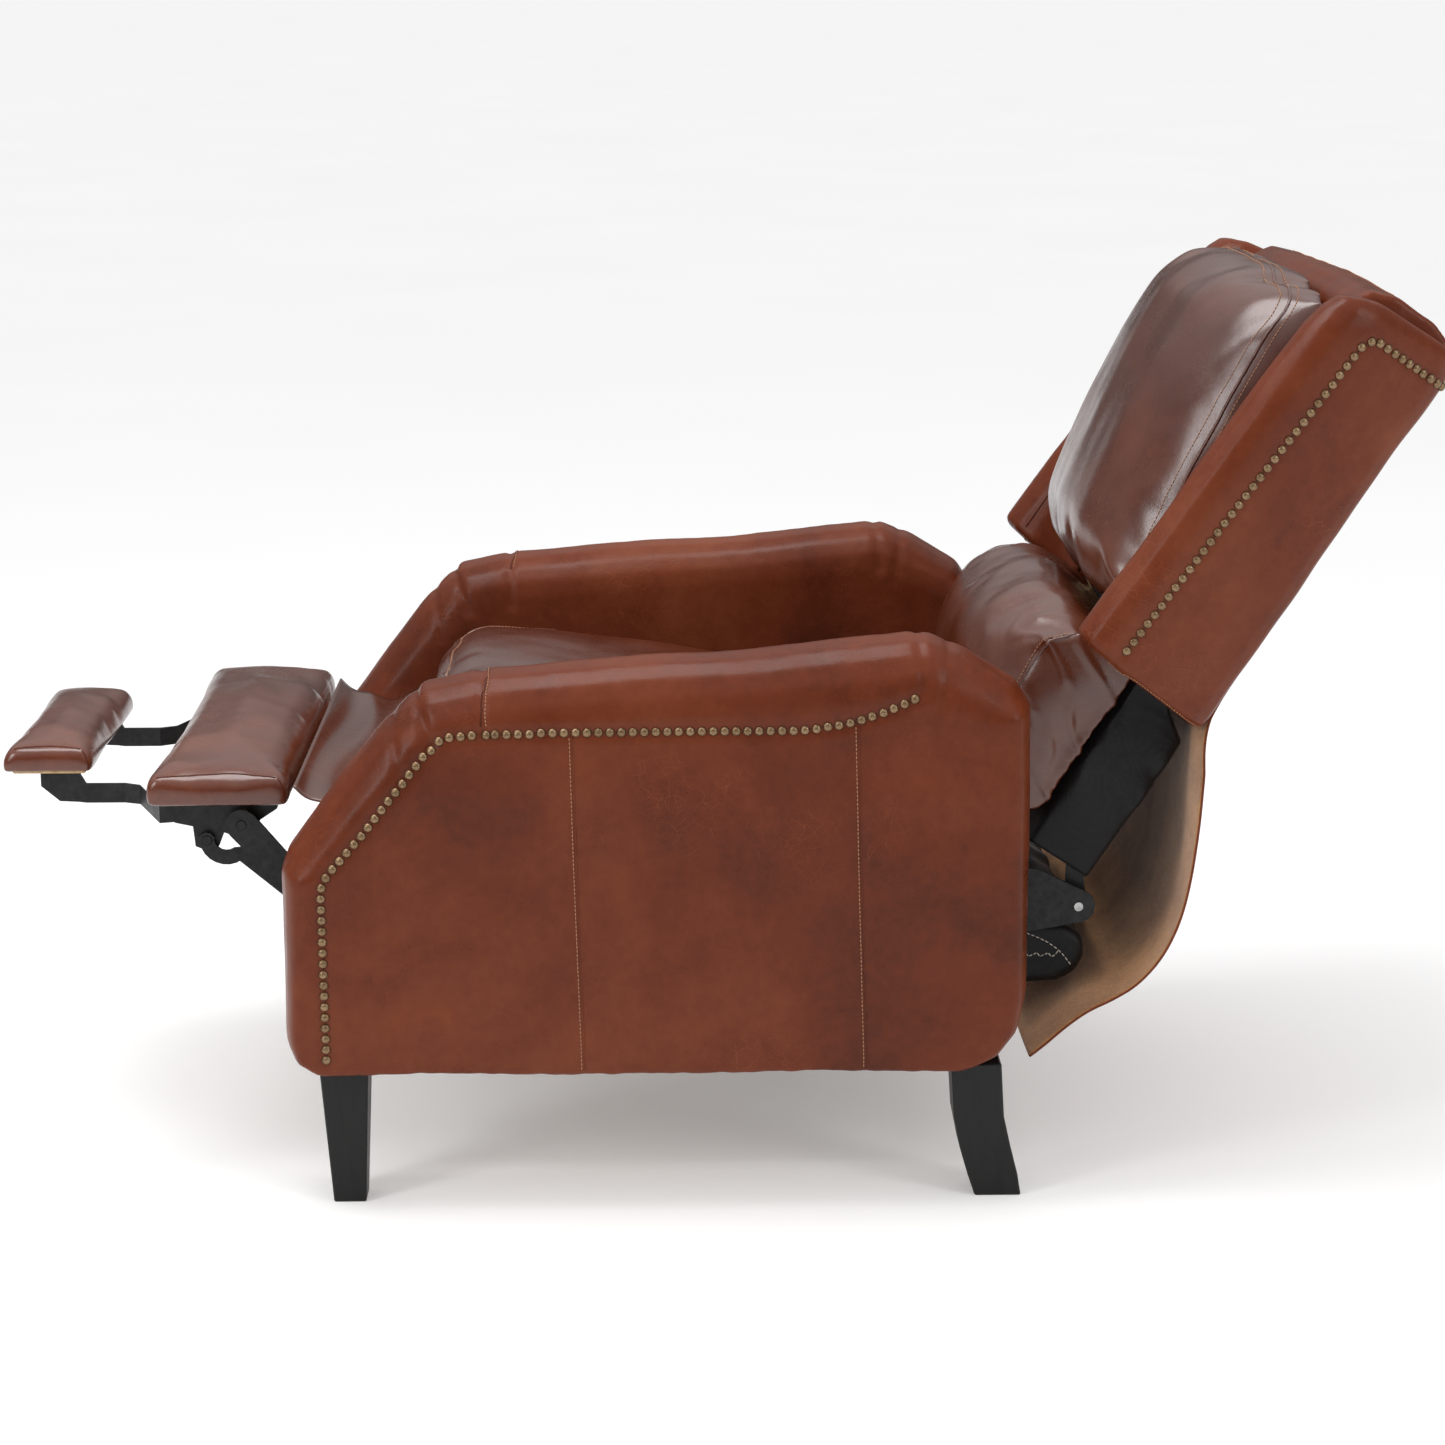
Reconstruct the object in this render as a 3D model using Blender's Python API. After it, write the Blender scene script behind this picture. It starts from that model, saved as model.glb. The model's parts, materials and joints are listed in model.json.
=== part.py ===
"""Push-back recliner armchair in nailhead-trimmed leather, modelled fully reclined with its footrest out.

The chair faces -Y, +X is the sitter's left and +Z is up.  Profiles are drawn from a datum plane at the
front of the arms; DATUM_Y moves that datum so that the origin lies under the middle of the chair.
Each joint's fixed points are the named pivots below, and a moving piece has its origin on its own pivot.
"""
import math

import bmesh
import bpy
from mathutils import Matrix, Vector

# ---------------------------------------------------------------- driving dimensions (metres)
DATUM_Y = 0.4528          # datum plane to the middle of the chair's length
GAP = 0.0004              # clearance left between touching pieces
SIDES = (("left", 1), ("right", -1))

ARM_INNER_X = 0.275
ARM_OUTER_X = 0.385
ARM_ROLL = 0.055          # radius of the padded roll along the top of an arm
BODY_BOTTOM_Z = 0.150
LEG_TOP_Z = BODY_BOTTOM_Z - GAP

RECLINE = math.radians(33.0)            # lean of the back behind vertical
BACK_PIVOT = (0.851, 0.291)             # (y, z) of the back's hinge
BACK_REAR_Y = -0.008                    # rear face of the back, in the back's own upright frame
WING_INNER_X = 0.272
CUSHION_HALF_X = 0.268

SWING_LENGTH = 0.110                    # base pivot to seat pivot of a swing link
SWING_LEAN = math.radians(35.2)
SWING_BASE = {"front": (0.300, 0.185), "rear": (0.620, 0.185)}

REAR_LINK_PIVOT = (0.2258, 0.1840)      # rear link on the seat side plate
KNEE_PIVOT = (0.0603, 0.2674)           # front and control links on the rear link
OTTOMAN_PIVOT = (-0.0400, 0.3830)       # footrest bracket on the front link
HOOK_PIVOT = (-0.0790, 0.3630)          # hook link on the footrest bracket
HOOK_END = (-0.0400, 0.3490)            # far end of the hook and control links, an open pivot
FLIPPER_PIVOT = (-0.1020, 0.3900)       # flipper bar on the footrest bracket

PLATE = 0.004                           # thickness of every steel plate and link
LAYER = {"base": 0.266, "swing": 0.260, "side": 0.254, "rear": 0.248, "front": 0.242,
         "control": 0.236, "hook": 0.230, "bracket": 0.224, "flipper": 0.218}
PIN_RADIUS = 0.0050
HOLE_RADIUS = 0.0056

SEAT_TILT = math.radians(7.5)           # seat drops towards the back
SEAT_FRAME_TOP = (0.135, 0.3775)        # front top edge of the seat frame
NAIL_PITCH = 0.0116
NAIL_RADIUS = 0.0046


# ---------------------------------------------------------------- scene and materials
def clear_scene():
    for old in list(bpy.data.objects):
        bpy.data.objects.remove(old, do_unlink=True)


def material(name, colour, roughness, metallic=0.0):
    made = bpy.data.materials.new(name)
    made.use_nodes = True
    shader = made.node_tree.nodes["Principled BSDF"]
    shader.inputs["Base Color"].default_value = (*colour, 1.0)
    shader.inputs["Roughness"].default_value = roughness
    shader.inputs["Metallic"].default_value = metallic
    return made


def make_materials():
    return {
        "leather": material("leather", (0.21, 0.055, 0.024), 0.36),
        "cushion_leather": material("cushion_leather", (0.16, 0.042, 0.022), 0.34),
        "flap_leather": material("flap_leather", (0.24, 0.08, 0.035), 0.5),
        "brass": material("antique_brass", (0.36, 0.24, 0.12), 0.38, 0.9),
        "steel": material("black_steel", (0.02, 0.02, 0.022), 0.42, 0.6),
        "pin_steel": material("pin_steel", (0.30, 0.30, 0.31), 0.35, 0.9),
        "leg_wood": material("ebonised_wood", (0.018, 0.016, 0.016), 0.45),
        "frame_wood": material("frame_wood", (0.55, 0.38, 0.21), 0.7),
        "cambric": material("black_cambric", (0.015, 0.015, 0.018), 0.9),
    }


# ---------------------------------------------------------------- mesh helpers
def finish(name, mesh_data, finish_material, pivot=None, parent=None, smooth_angle=40.0):
    """Turn a bmesh drawn in datum coordinates into a named object whose origin is on its pivot."""
    bmesh.ops.recalc_face_normals(mesh_data, faces=mesh_data.faces)
    mesh = bpy.data.meshes.new(name)
    if parent is None:
        origin = Vector((0.0, *(pivot or (DATUM_Y, 0.0))))
        bmesh.ops.translate(mesh_data, verts=mesh_data.verts, vec=-origin)
    mesh_data.to_mesh(mesh)
    mesh_data.free()
    mesh.shade_smooth()
    mesh.set_sharp_from_angle(angle=math.radians(smooth_angle))
    mesh.materials.append(finish_material)
    made = bpy.data.objects.new(name, mesh)
    bpy.context.scene.collection.objects.link(made)
    if parent is None:
        made.location = origin - Vector((0.0, DATUM_Y, 0.0))
    else:
        made.parent = parent
    return made


def loft(rings):
    """Closed skin through rings of equal length, with a triangulated cap on each end ring."""
    data = bmesh.new()
    rows = [[data.verts.new(point) for point in ring] for ring in rings]
    count = len(rows[0])
    for low, high in zip(rows, rows[1:]):
        for i in range(count):
            j = (i + 1) % count
            data.faces.new((low[i], low[j], high[j], high[i]))
    caps = [data.faces.new(rows[0]), data.faces.new(rows[-1])]
    bmesh.ops.triangulate(data, faces=caps)
    return data


def slab(outline, low, high, axis="x", holes=()):
    """Flat plate: a closed outline with holes, filled and extruded from low to high along one axis."""
    data = bmesh.new()
    place = {"x": lambda a, b: (low, a, b), "y": lambda a, b: (a, low, b), "z": lambda a, b: (a, b, low)}[axis]
    depth = {"x": (high - low, 0, 0), "y": (0, high - low, 0), "z": (0, 0, high - low)}[axis]
    for ring in (outline, *holes):
        corners = [data.verts.new(place(*point)) for point in ring]
        for i, corner in enumerate(corners):
            data.edges.new((corner, corners[(i + 1) % len(corners)]))
    bmesh.ops.triangle_fill(data, use_beauty=True, edges=data.edges)
    pulled = bmesh.ops.extrude_face_region(data, geom=data.faces[:])
    moved = [item for item in pulled["geom"] if isinstance(item, bmesh.types.BMVert)]
    bmesh.ops.translate(data, verts=moved, vec=depth)
    return data


def box(x, y, z):
    return slab([(y[0], z[0]), (y[1], z[0]), (y[1], z[1]), (y[0], z[1])], x[0], x[1])


def arc(centre, radius, start, end, steps):
    """Points of an arc in degrees, from start to end."""
    turns = [math.radians(start + (end - start) * i / steps) for i in range(steps + 1)]
    return [(centre[0] + radius * math.cos(a), centre[1] + radius * math.sin(a)) for a in turns]


def circle(centre, radius, steps=12):
    return arc(centre, radius, 0.0, 360.0 - 360.0 / steps, steps - 1)


def capsule(a, b, radius_a, radius_b, steps=6):
    """Outline of a link with a round end at each pivot."""
    heading = math.degrees(math.atan2(b[1] - a[1], b[0] - a[0]))
    return arc(b, radius_b, heading - 90, heading + 90, steps) + arc(a, radius_a, heading + 90, heading + 270, steps)


def offset_outline(outline, distance, weights):
    """Move each point of a closed outline inwards by its weight times distance."""
    count = len(outline)
    area = sum(outline[i - 1][0] * outline[i][1] - outline[i][0] * outline[i - 1][1] for i in range(count))
    turn = 1.0 if area > 0 else -1.0
    moved = []
    for i, (a, b) in enumerate(outline):
        back = Vector(outline[i - 1])
        ahead = Vector(outline[(i + 1) % count])
        along = (ahead - back).normalized()
        moved.append((a - along.y * turn * distance * weights[i], b + along.x * turn * distance * weights[i]))
    return moved


def roll_insets(low, high, radius_low, radius_high, steps=4):
    """(x, inset) stations that round a slab's two side faces over with quarter circles."""
    stations = []
    for k in range(steps + 1):
        angle = math.radians(90.0 * k / steps)
        stations.append((low + radius_low * (1 - math.cos(angle)), radius_low * (1 - math.sin(angle))))
    for k in range(steps, -1, -1):
        angle = math.radians(90.0 * k / steps)
        stations.append((high - radius_high * (1 - math.cos(angle)), radius_high * (1 - math.sin(angle))))
    return stations


def pillow(outline, weights, stations):
    """Skin through copies of an outline, each drawn inwards by its station's inset."""
    rings = []
    for x, inset in stations:
        rings.append([(x, a, b) for a, b in offset_outline(outline, inset, weights)])
    return loft(rings)


def mirror_x(data, side):
    if side < 0:
        bmesh.ops.scale(data, verts=data.verts, vec=(-1, 1, 1))
    return data


def add_stud(owner, centre, radius, x_low, x_high, side):
    """Join a round stud to a plate, so that a neighbouring link can turn on it."""
    name = owner.name + "_stud_guide_" + str(len(owner.modifiers))
    data = mirror_x(slab(circle(centre, radius), x_low, x_high), side)
    pivot = (owner.location.y + DATUM_Y, owner.location.z)
    guide = finish(name, data, owner.data.materials[0], pivot)
    guide.hide_render = True
    guide.display_type = "WIRE"
    join = owner.modifiers.new("stud", "BOOLEAN")
    join.operation = "UNION"
    join.object = guide


def soften(target, width, segments=2, angle=30.0):
    bevel = target.modifiers.new("rounded_edges", "BEVEL")
    bevel.width = width
    bevel.segments = segments
    bevel.limit_method = "ANGLE"
    bevel.angle_limit = math.radians(angle)


# ---------------------------------------------------------------- arms, legs and rails
ARM_OUTLINE = [
    (0.050, 0.150), (0.024, 0.158), (0.014, 0.182), (0.014, 0.364), (0.022, 0.385), (0.113, 0.508),
    (0.160, 0.557), (0.225, 0.571), (0.300, 0.576), (0.400, 0.584), (0.500, 0.589), (0.600, 0.600),
    (0.672, 0.608), (0.712, 0.592), (0.770, 0.557), (0.786, 0.531), (0.786, 0.230), (0.777, 0.188),
    (0.755, 0.160), (0.715, 0.150)]
ARM_WEIGHTS = [0.0, 0.2, 0.3, 0.45, 0.8, 1.0] + [1.0] * 8 + [0.8, 0.4, 0.3, 0.25, 0.2, 0.0]
ARM_FRAME_X = (0.302, 0.344)
ARM_FRAME_OUTLINE = [(0.050, 0.153), (0.050, 0.360), (0.185, 0.528), (0.400, 0.546), (0.670, 0.562),
                     (0.750, 0.512), (0.750, 0.200), (0.715, 0.153)]
ARM_FRAME_WINDOWS = [[(0.100, 0.205), (0.100, 0.345), (0.215, 0.485), (0.390, 0.500), (0.390, 0.205)],
                     [(0.435, 0.205), (0.435, 0.503), (0.660, 0.514), (0.702, 0.485), (0.702, 0.205)]]


def make_arms(mats):
    for word, side in SIDES:
        stations = roll_insets(ARM_INNER_X, ARM_OUTER_X, 0.048, ARM_ROLL)
        cover = finish("arm_cover_" + word, mirror_x(pillow(ARM_OUTLINE, ARM_WEIGHTS, stations), side),
                       mats["leather"])
        frame_data = mirror_x(slab(ARM_FRAME_OUTLINE, *ARM_FRAME_X, holes=ARM_FRAME_WINDOWS), side)
        finish("arm_frame_" + word, frame_data, mats["frame_wood"])
        hollow_outline = [(0.049, 0.100), (0.049, 0.361), (0.184, 0.530), (0.400, 0.548), (0.671, 0.564),
                          (0.7515, 0.513), (0.7515, 0.100)]
        hollow = finish("arm_hollow_guide_" + word,
                        mirror_x(slab(hollow_outline, ARM_FRAME_X[0] - 0.001, ARM_FRAME_X[1] + 0.001), side),
                        mats["leather"])
        hollow.hide_render = True
        hollow.display_type = "WIRE"
        cut = cover.modifiers.new("frame_hollow", "BOOLEAN")
        cut.operation = "DIFFERENCE"
        cut.object = hollow


def make_legs(mats):
    front_sections = [(0.0, 0.058, 0.092, 0.322, 0.356), (LEG_TOP_Z, 0.047, 0.098, 0.308, 0.360)]
    rear_sections = [(0.0, 0.736, 0.785, 0.312, 0.352), (0.024, 0.728, 0.781, 0.312, 0.353),
                     (0.055, 0.719, 0.773, 0.311, 0.354), (0.090, 0.712, 0.765, 0.310, 0.356),
                     (LEG_TOP_Z, 0.708, 0.761, 0.308, 0.358)]
    for kind, sections in (("front", front_sections), ("rear", rear_sections)):
        for word, side in SIDES:
            rings = []
            for z, y0, y1, x0, x1 in sections:
                rings.append([(x0, y0, z), (x1, y0, z), (x1, y1, z), (x0, y1, z)])
            leg = finish(kind + "_leg_" + word, mirror_x(loft(rings), side), mats["leg_wood"])
            soften(leg, 0.0015, 1, 60.0)


def make_rails(mats):
    reach = LAYER["base"] - 0.0005
    front = finish("front_cross_rail", box((-reach, reach), (0.340, 0.370), (0.152, 0.184)), mats["frame_wood"])
    rear = finish("rear_cross_rail", box((-reach, reach), (0.745, 0.775), (0.152, 0.184)), mats["frame_wood"])
    for rail in (front, rear):
        soften(rail, 0.002, 1)


# ---------------------------------------------------------------- recline mechanism
def swing_top(kind):
    y, z = SWING_BASE[kind]
    return (y + SWING_LENGTH * math.sin(SWING_LEAN), z + SWING_LENGTH * math.cos(SWING_LEAN))


def layer_range(name):
    return LAYER[name], LAYER[name] + PLATE


def link(name, word, side, layer, a, b, radii, pivot, steel, holes=()):
    outline = capsule(a, b, *radii)
    rings = [circle(centre, HOLE_RADIUS) for centre in holes]
    return finish(name + "_" + word, mirror_x(slab(outline, *layer_range(layer), holes=rings), side), steel, pivot)


def make_base_plates(mats):
    outline = [(0.250, 0.1525), (0.780, 0.1525), (0.780, 0.196), (0.650, 0.214), (0.270, 0.214), (0.250, 0.196)]
    for word, side in SIDES:
        plate = finish("mechanism_base_" + word, mirror_x(slab(outline, *layer_range("base")), side), mats["steel"])
        for centre in SWING_BASE.values():
            add_stud(plate, centre, PIN_RADIUS, LAYER["swing"] - 0.0005, LAYER["base"] + 0.002, side)


def make_swing_links(mats):
    for kind in ("front", "rear"):
        low = SWING_BASE[kind]
        high = swing_top(kind)
        for word, side in SIDES:
            link(kind + "_swing_link", word, side, "swing", low, high, (0.012, 0.012), low, mats["steel"],
                 (low, high))


def make_side_plates(mats):
    tail = arc(BACK_PIVOT, 0.018, -75, 55, 5)
    outline = [(0.160, 0.345), (0.165, 0.300), (0.205, 0.176), (0.222, 0.166), (0.245, 0.170), (0.275, 0.235),
               (0.330, 0.250), (0.700, 0.250), (0.790, 0.262), *tail, (0.806, 0.333), (0.750, 0.334), (0.728, 0.308),
               (0.430, 0.346)]
    for word, side in SIDES:
        data = slab(outline, *layer_range("side"), holes=[circle(BACK_PIVOT, HOLE_RADIUS)])
        plate = finish("seat_side_plate_" + word, mirror_x(data, side), mats["steel"], swing_top("rear"))
        for kind in ("front", "rear"):
            add_stud(plate, swing_top(kind), PIN_RADIUS, LAYER["side"] + 0.002, LAYER["swing"] + PLATE + 0.0005, side)
        add_stud(plate, REAR_LINK_PIVOT, PIN_RADIUS, LAYER["rear"] - 0.0005, LAYER["side"] + 0.002, side)


def make_footrest_links(mats):
    steel = mats["steel"]
    for word, side in SIDES:
        rear = link("rear_link", word, side, "rear", REAR_LINK_PIVOT, KNEE_PIVOT, (0.012, 0.012),
                    REAR_LINK_PIVOT, steel, (REAR_LINK_PIVOT,))
        add_stud(rear, KNEE_PIVOT, PIN_RADIUS, LAYER["control"] - 0.0005, LAYER["rear"] + 0.002, side)
        link("front_link", word, side, "front", KNEE_PIVOT, OTTOMAN_PIVOT, (0.013, 0.017), KNEE_PIVOT, steel,
             (KNEE_PIVOT, OTTOMAN_PIVOT))
        link("control_link", word, side, "control", KNEE_PIVOT, HOOK_END, (0.011, 0.008), KNEE_PIVOT, steel,
             (KNEE_PIVOT,))
        make_hook_link(word, side, steel)


def make_hook_link(word, side, steel):
    """Curved link that drops from the footrest bracket and curls up to the control link's end."""
    centre = (-0.0585, 0.3645)
    middle = 0.0206
    half = 0.0078
    outline = arc(centre, middle + half, 184, 308, 8) + arc(HOOK_END, half, 308 - 10, 308 + 150, 4)[1:-1]
    outline += arc(centre, middle - half, 308, 184, 6) + arc(HOOK_PIVOT, half + 0.001, 20, 170, 4)
    data = slab(outline, *layer_range("hook"), holes=[circle(HOOK_PIVOT, HOLE_RADIUS)])
    finish("hook_link_" + word, mirror_x(data, side), steel, HOOK_PIVOT)


# ---------------------------------------------------------------- footrest and flipper
FOOTREST_BOARD_Z = 0.4070
FLIPPER_BOARD_Z = 0.4135
FLIPPER_BAR_X = 0.125


def make_footrest_brackets(mats):
    outline = [(-0.122, 0.4065), (-0.124, 0.398), (-0.113, 0.381), (-0.094, 0.377), (-0.092, 0.355),
               (-0.079, 0.3495), (-0.067, 0.355), (-0.061, 0.370), (-0.050, 0.366), (-0.030, 0.366),
               (-0.022, 0.384), (-0.004, 0.396), (0.000, 0.4065)]
    for word, side in SIDES:
        data = slab(outline, *layer_range("bracket"))
        bracket = finish("footrest_bracket_" + word, mirror_x(data, side), mats["steel"], OTTOMAN_PIVOT)
        inside = LAYER["bracket"] + 0.002
        add_stud(bracket, HOOK_PIVOT, PIN_RADIUS, inside, LAYER["hook"] + PLATE + 0.001, side)
        add_stud(bracket, OTTOMAN_PIVOT, PIN_RADIUS, inside, LAYER["front"] + PLATE + 0.001, side)
        add_stud(bracket, FLIPPER_PIVOT, PIN_RADIUS, LAYER["flipper"] - 0.001, inside, side)


def make_flipper_bars(mats):
    """Flat bars that leave the brackets, step inwards under the footrest and carry the flipper board."""
    near = LAYER["flipper"]
    stations = [(-0.0920, 0.3860, 0.3940, near), (-0.0950, 0.3815, 0.3985, near), (-0.1300, 0.3790, 0.3995, near),
                (-0.1640, 0.3775, 0.3985, 0.134), (-0.1820, 0.3770, 0.3985, FLIPPER_BAR_X),
                (-0.2240, 0.3770, 0.3985, FLIPPER_BAR_X), (-0.2320, 0.3780, 0.4130, FLIPPER_BAR_X),
                (-0.2530, 0.3790, 0.4130, FLIPPER_BAR_X), (-0.2730, 0.3960, 0.4130, FLIPPER_BAR_X)]
    for word, side in SIDES:
        rings = [[(x, y, z0), (x + PLATE, y, z0), (x + PLATE, y, z1), (x, y, z1)] for y, z0, z1, x in stations]
        bar = finish("flipper_bar_" + word, mirror_x(loft(rings), side), mats["steel"], FLIPPER_PIVOT)
        hole = finish("flipper_hole_guide_" + word,
                      mirror_x(slab(circle(FLIPPER_PIVOT, HOLE_RADIUS), near - 0.004, near + 0.008), side),
                      mats["steel"], FLIPPER_PIVOT)
        hole.hide_render = True
        hole.display_type = "WIRE"
        cut = bar.modifiers.new("pivot_hole", "BOOLEAN")
        cut.operation = "DIFFERENCE"
        cut.object = hole


def pad(name, y_range, z_range, half_x, crown, mats, pivot):
    """Upholstered footrest pad: a flat-bottomed pad with softly rolled edges and a crowned top."""
    y0, y1 = y_range
    z0, z1 = z_range
    rings = []
    for x_share in (-1.0, -0.94, -0.5, 0.0, 0.5, 0.94, 1.0):
        lift = crown * (1 - x_share ** 2)
        edge = 0.006 if abs(x_share) == 1.0 else 0.0
        top = z1 + lift - edge
        middle = (y0 + y1) / 2
        rings.append([(x_share * half_x, y0 + edge, z0), (x_share * half_x, y0 + edge, z1 - 0.012),
                      (x_share * half_x, y0 + 0.010, z1 - edge), (x_share * half_x, middle, top),
                      (x_share * half_x, y1 - 0.010, z1 - edge), (x_share * half_x, y1 - edge, z1 - 0.012),
                      (x_share * half_x, y1 - edge, z0)])
    finish(name, loft(rings), mats["cushion_leather"], pivot)


def make_footrest(mats):
    board = finish("footrest_board", box((-0.250, 0.250), (-0.128, 0.002), (FOOTREST_BOARD_Z, 0.4165)),
                   mats["frame_wood"], OTTOMAN_PIVOT)
    soften(board, 0.002, 1)
    pad("footrest_pad", (-0.139, 0.013), (0.4170, 0.438), 0.265, 0.016, mats, OTTOMAN_PIVOT)


def make_flipper(mats):
    board = finish("flipper_board", box((-0.143, 0.143), (-0.301, -0.221), (FLIPPER_BOARD_Z, 0.4215)),
                   mats["frame_wood"], FLIPPER_PIVOT)
    soften(board, 0.002, 1)
    pad("flipper_pad", (-0.3115, -0.212), (0.4220, 0.440), 0.150, 0.010, mats, FLIPPER_PIVOT)


# ---------------------------------------------------------------- seat
def seat_line(y, lift=0.0):
    """Height of the tilted seat deck at y, raised by lift."""
    return SEAT_FRAME_TOP[1] - math.tan(SEAT_TILT) * (y - SEAT_FRAME_TOP[0]) + lift


def tilted_rail(name, outline, mats):
    """Wooden rail drawn flat, then set on the tilted line of the seat deck."""
    data = slab(outline, 0.0, 0.020, axis="z")
    for vert in data.verts:
        vert.co.z += seat_line(vert.co.y, -0.020)
    finish(name, data, mats["frame_wood"], swing_top("rear"))


def make_seat_frame(mats):
    inner = 0.168
    narrow = 0.212
    wide = LAYER["side"] - 0.0005
    step_y = 0.350
    front_y = (0.135, 0.180)
    rear_y = (0.700, 0.745)
    for word, side in SIDES:
        outline = [(inner, front_y[0]), (narrow, front_y[0]), (narrow, step_y), (wide, step_y), (wide, rear_y[1]),
                   (inner, rear_y[1])]
        tilted_rail("seat_side_rail_" + word, [(x * side, y) for x, y in outline], mats)
    for kind, (y0, y1) in (("front", front_y), ("rear", rear_y)):
        reach = inner - GAP
        tilted_rail("seat_" + kind + "_rail", [(-reach, y0), (reach, y0), (reach, y1), (-reach, y1)], mats)


def make_seat_springs(mats):
    """One sinuous wire laid in three rows over the seat frame."""
    points = []
    rows = (-0.115, 0.0, 0.115)
    bends = 18
    reach = (0.150, 0.730)
    for index, row_x in enumerate(rows):
        steps = range(bends + 1) if index % 2 == 0 else range(bends, -1, -1)
        for k in steps:
            y = reach[0] + (reach[1] - reach[0]) * k / bends
            sway = 0.0 if k in (0, bends) else 0.022 * (1 if k % 2 else -1)
            points.append((row_x + sway, y, seat_line(y, 0.0045)))
    curve = bpy.data.curves.new("seat_springs", "CURVE")
    curve.dimensions = "3D"
    curve.bevel_depth = 0.0018
    curve.bevel_resolution = 1
    curve.use_fill_caps = True
    wire = curve.splines.new("POLY")
    wire.points.add(len(points) - 1)
    pivot_y, pivot_z = swing_top("rear")
    for spot, point in zip(wire.points, points):
        spot.co = (point[0], point[1] - pivot_y, point[2] - pivot_z, 1.0)
    curve.materials.append(mats["steel"])
    springs = bpy.data.objects.new("seat_springs", curve)
    springs.location = (0.0, pivot_y - DATUM_Y, pivot_z)
    bpy.context.scene.collection.objects.link(springs)


def crowned_stations(half_x, depth):
    """Stations across a cushion: deep insets at the sides, none at the middle."""
    shares = [-1.0, -0.95, -0.82, -0.5, 0.0, 0.5, 0.82, 0.95, 1.0]
    return [(share * half_x, depth * abs(share) ** 3) for share in shares]


def make_seat_cushion(mats):
    outline = [(0.126, 0.401), (0.121, 0.427), (0.127, 0.462), (0.160, 0.498), (0.260, 0.494), (0.400, 0.475),
               (0.560, 0.452), (0.678, 0.434), (0.702, 0.413), (0.713, 0.322), (0.430, 0.361)]
    weights = [0.0, 0.3, 0.7, 1.0, 1.0, 1.0, 1.0, 0.9, 0.5, 0.0, 0.0]
    finish("seat_cushion", pillow(outline, weights, crowned_stations(CUSHION_HALF_X, 0.014)),
           mats["cushion_leather"], swing_top("rear"))


def make_seat_dust_cover(mats):
    outline = [(0.770, 0.206), (0.780, 0.198), (0.832, 0.201), (0.850, 0.214), (0.860, 0.232), (0.858, 0.250),
               (0.836, 0.266), (0.780, 0.272), (0.770, 0.262)]
    cover = finish("seat_dust_cover", slab(outline, -0.246, 0.246), mats["cambric"], swing_top("rear"))
    soften(cover, 0.006, 1, 60.0)


def sheet(path, thickness, half_widths):
    """Thin closed sheet along a path in the side view, with a half width at each path point."""
    normals = []
    for i in range(len(path)):
        back = Vector(path[max(i - 1, 0)])
        ahead = Vector(path[min(i + 1, len(path) - 1)])
        along = (ahead - back).normalized()
        normals.append((-along.y, along.x))
    rings = []
    for (y, z), (ny, nz), half_x in zip(path, normals, half_widths):
        far = (y + ny * thickness, z + nz * thickness)
        rings.append([(-half_x, y, z), (half_x, y, z), (half_x, *far), (-half_x, *far)])
    return loft(rings)


def make_footrest_web(mats):
    path = [(0.0165, 0.4260), (0.0300, 0.4130), (0.0520, 0.4030), (0.0800, 0.4000), (0.1020, 0.4050),
            (0.1160, 0.4150)]
    finish("footrest_web", sheet(path, 0.002, [0.255] * len(path)), mats["cushion_leather"], swing_top("rear"))


# ---------------------------------------------------------------- back, built upright in its hinge's frame
def back_hinge_empty():
    hinge = bpy.data.objects.new("back_hinge_axis", None)
    hinge.location = (0.0, BACK_PIVOT[0] - DATUM_Y, BACK_PIVOT[1])
    hinge.rotation_euler = (-RECLINE, 0.0, 0.0)
    bpy.context.scene.collection.objects.link(hinge)
    return hinge


def make_back_frame(mats, hinge):
    half = 0.238
    outline = [(-half, 0.050), (half, 0.050), (half, 0.655), (-half, 0.655)]
    windows = [[(-0.195, 0.098), (0.195, 0.098), (0.195, 0.285), (-0.195, 0.285)],
               [(-0.195, 0.330), (0.195, 0.330), (0.195, 0.608), (-0.195, 0.608)]]
    finish("back_frame", slab(outline, -0.083, -0.047, axis="y", holes=windows), mats["frame_wood"], parent=hinge)


def make_back_brackets(mats, hinge):
    outline = arc((0.0, 0.0), 0.014, -150, 0, 6) + [(-0.009, 0.026), (-0.032, 0.110), (-0.044, 0.200),
                                                    (-0.082, 0.200), (-0.080, 0.110), (-0.034, 0.030)]
    for word, side in SIDES:
        data = slab(outline, 0.2395, 0.2435, holes=[circle((0.0, 0.0), HOLE_RADIUS)])
        finish("back_bracket_" + word, mirror_x(data, side), mats["steel"], parent=hinge)
        pin = slab(circle((0.0, 0.0), PIN_RADIUS), 0.2385, LAYER["side"] + PLATE + 0.0015)
        finish("back_hinge_pin_" + word, mirror_x(pin, side), mats["pin_steel"], parent=hinge)


def make_lower_back_cover(mats, hinge):
    """Black cloth sleeve round the lower part of the back frame, open at both ends."""
    outer = [(-0.2465, -0.0895), (0.2465, -0.0895), (0.2465, -0.0020), (-0.2465, -0.0020)]
    inner = [(-0.2445, -0.0865), (0.2445, -0.0865), (0.2445, -0.0050), (-0.2445, -0.0050)]
    data = slab(outer, 0.030, 0.2150, axis="z", holes=[inner])
    finish("lower_back_cover", data, mats["cambric"], parent=hinge)


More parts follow.
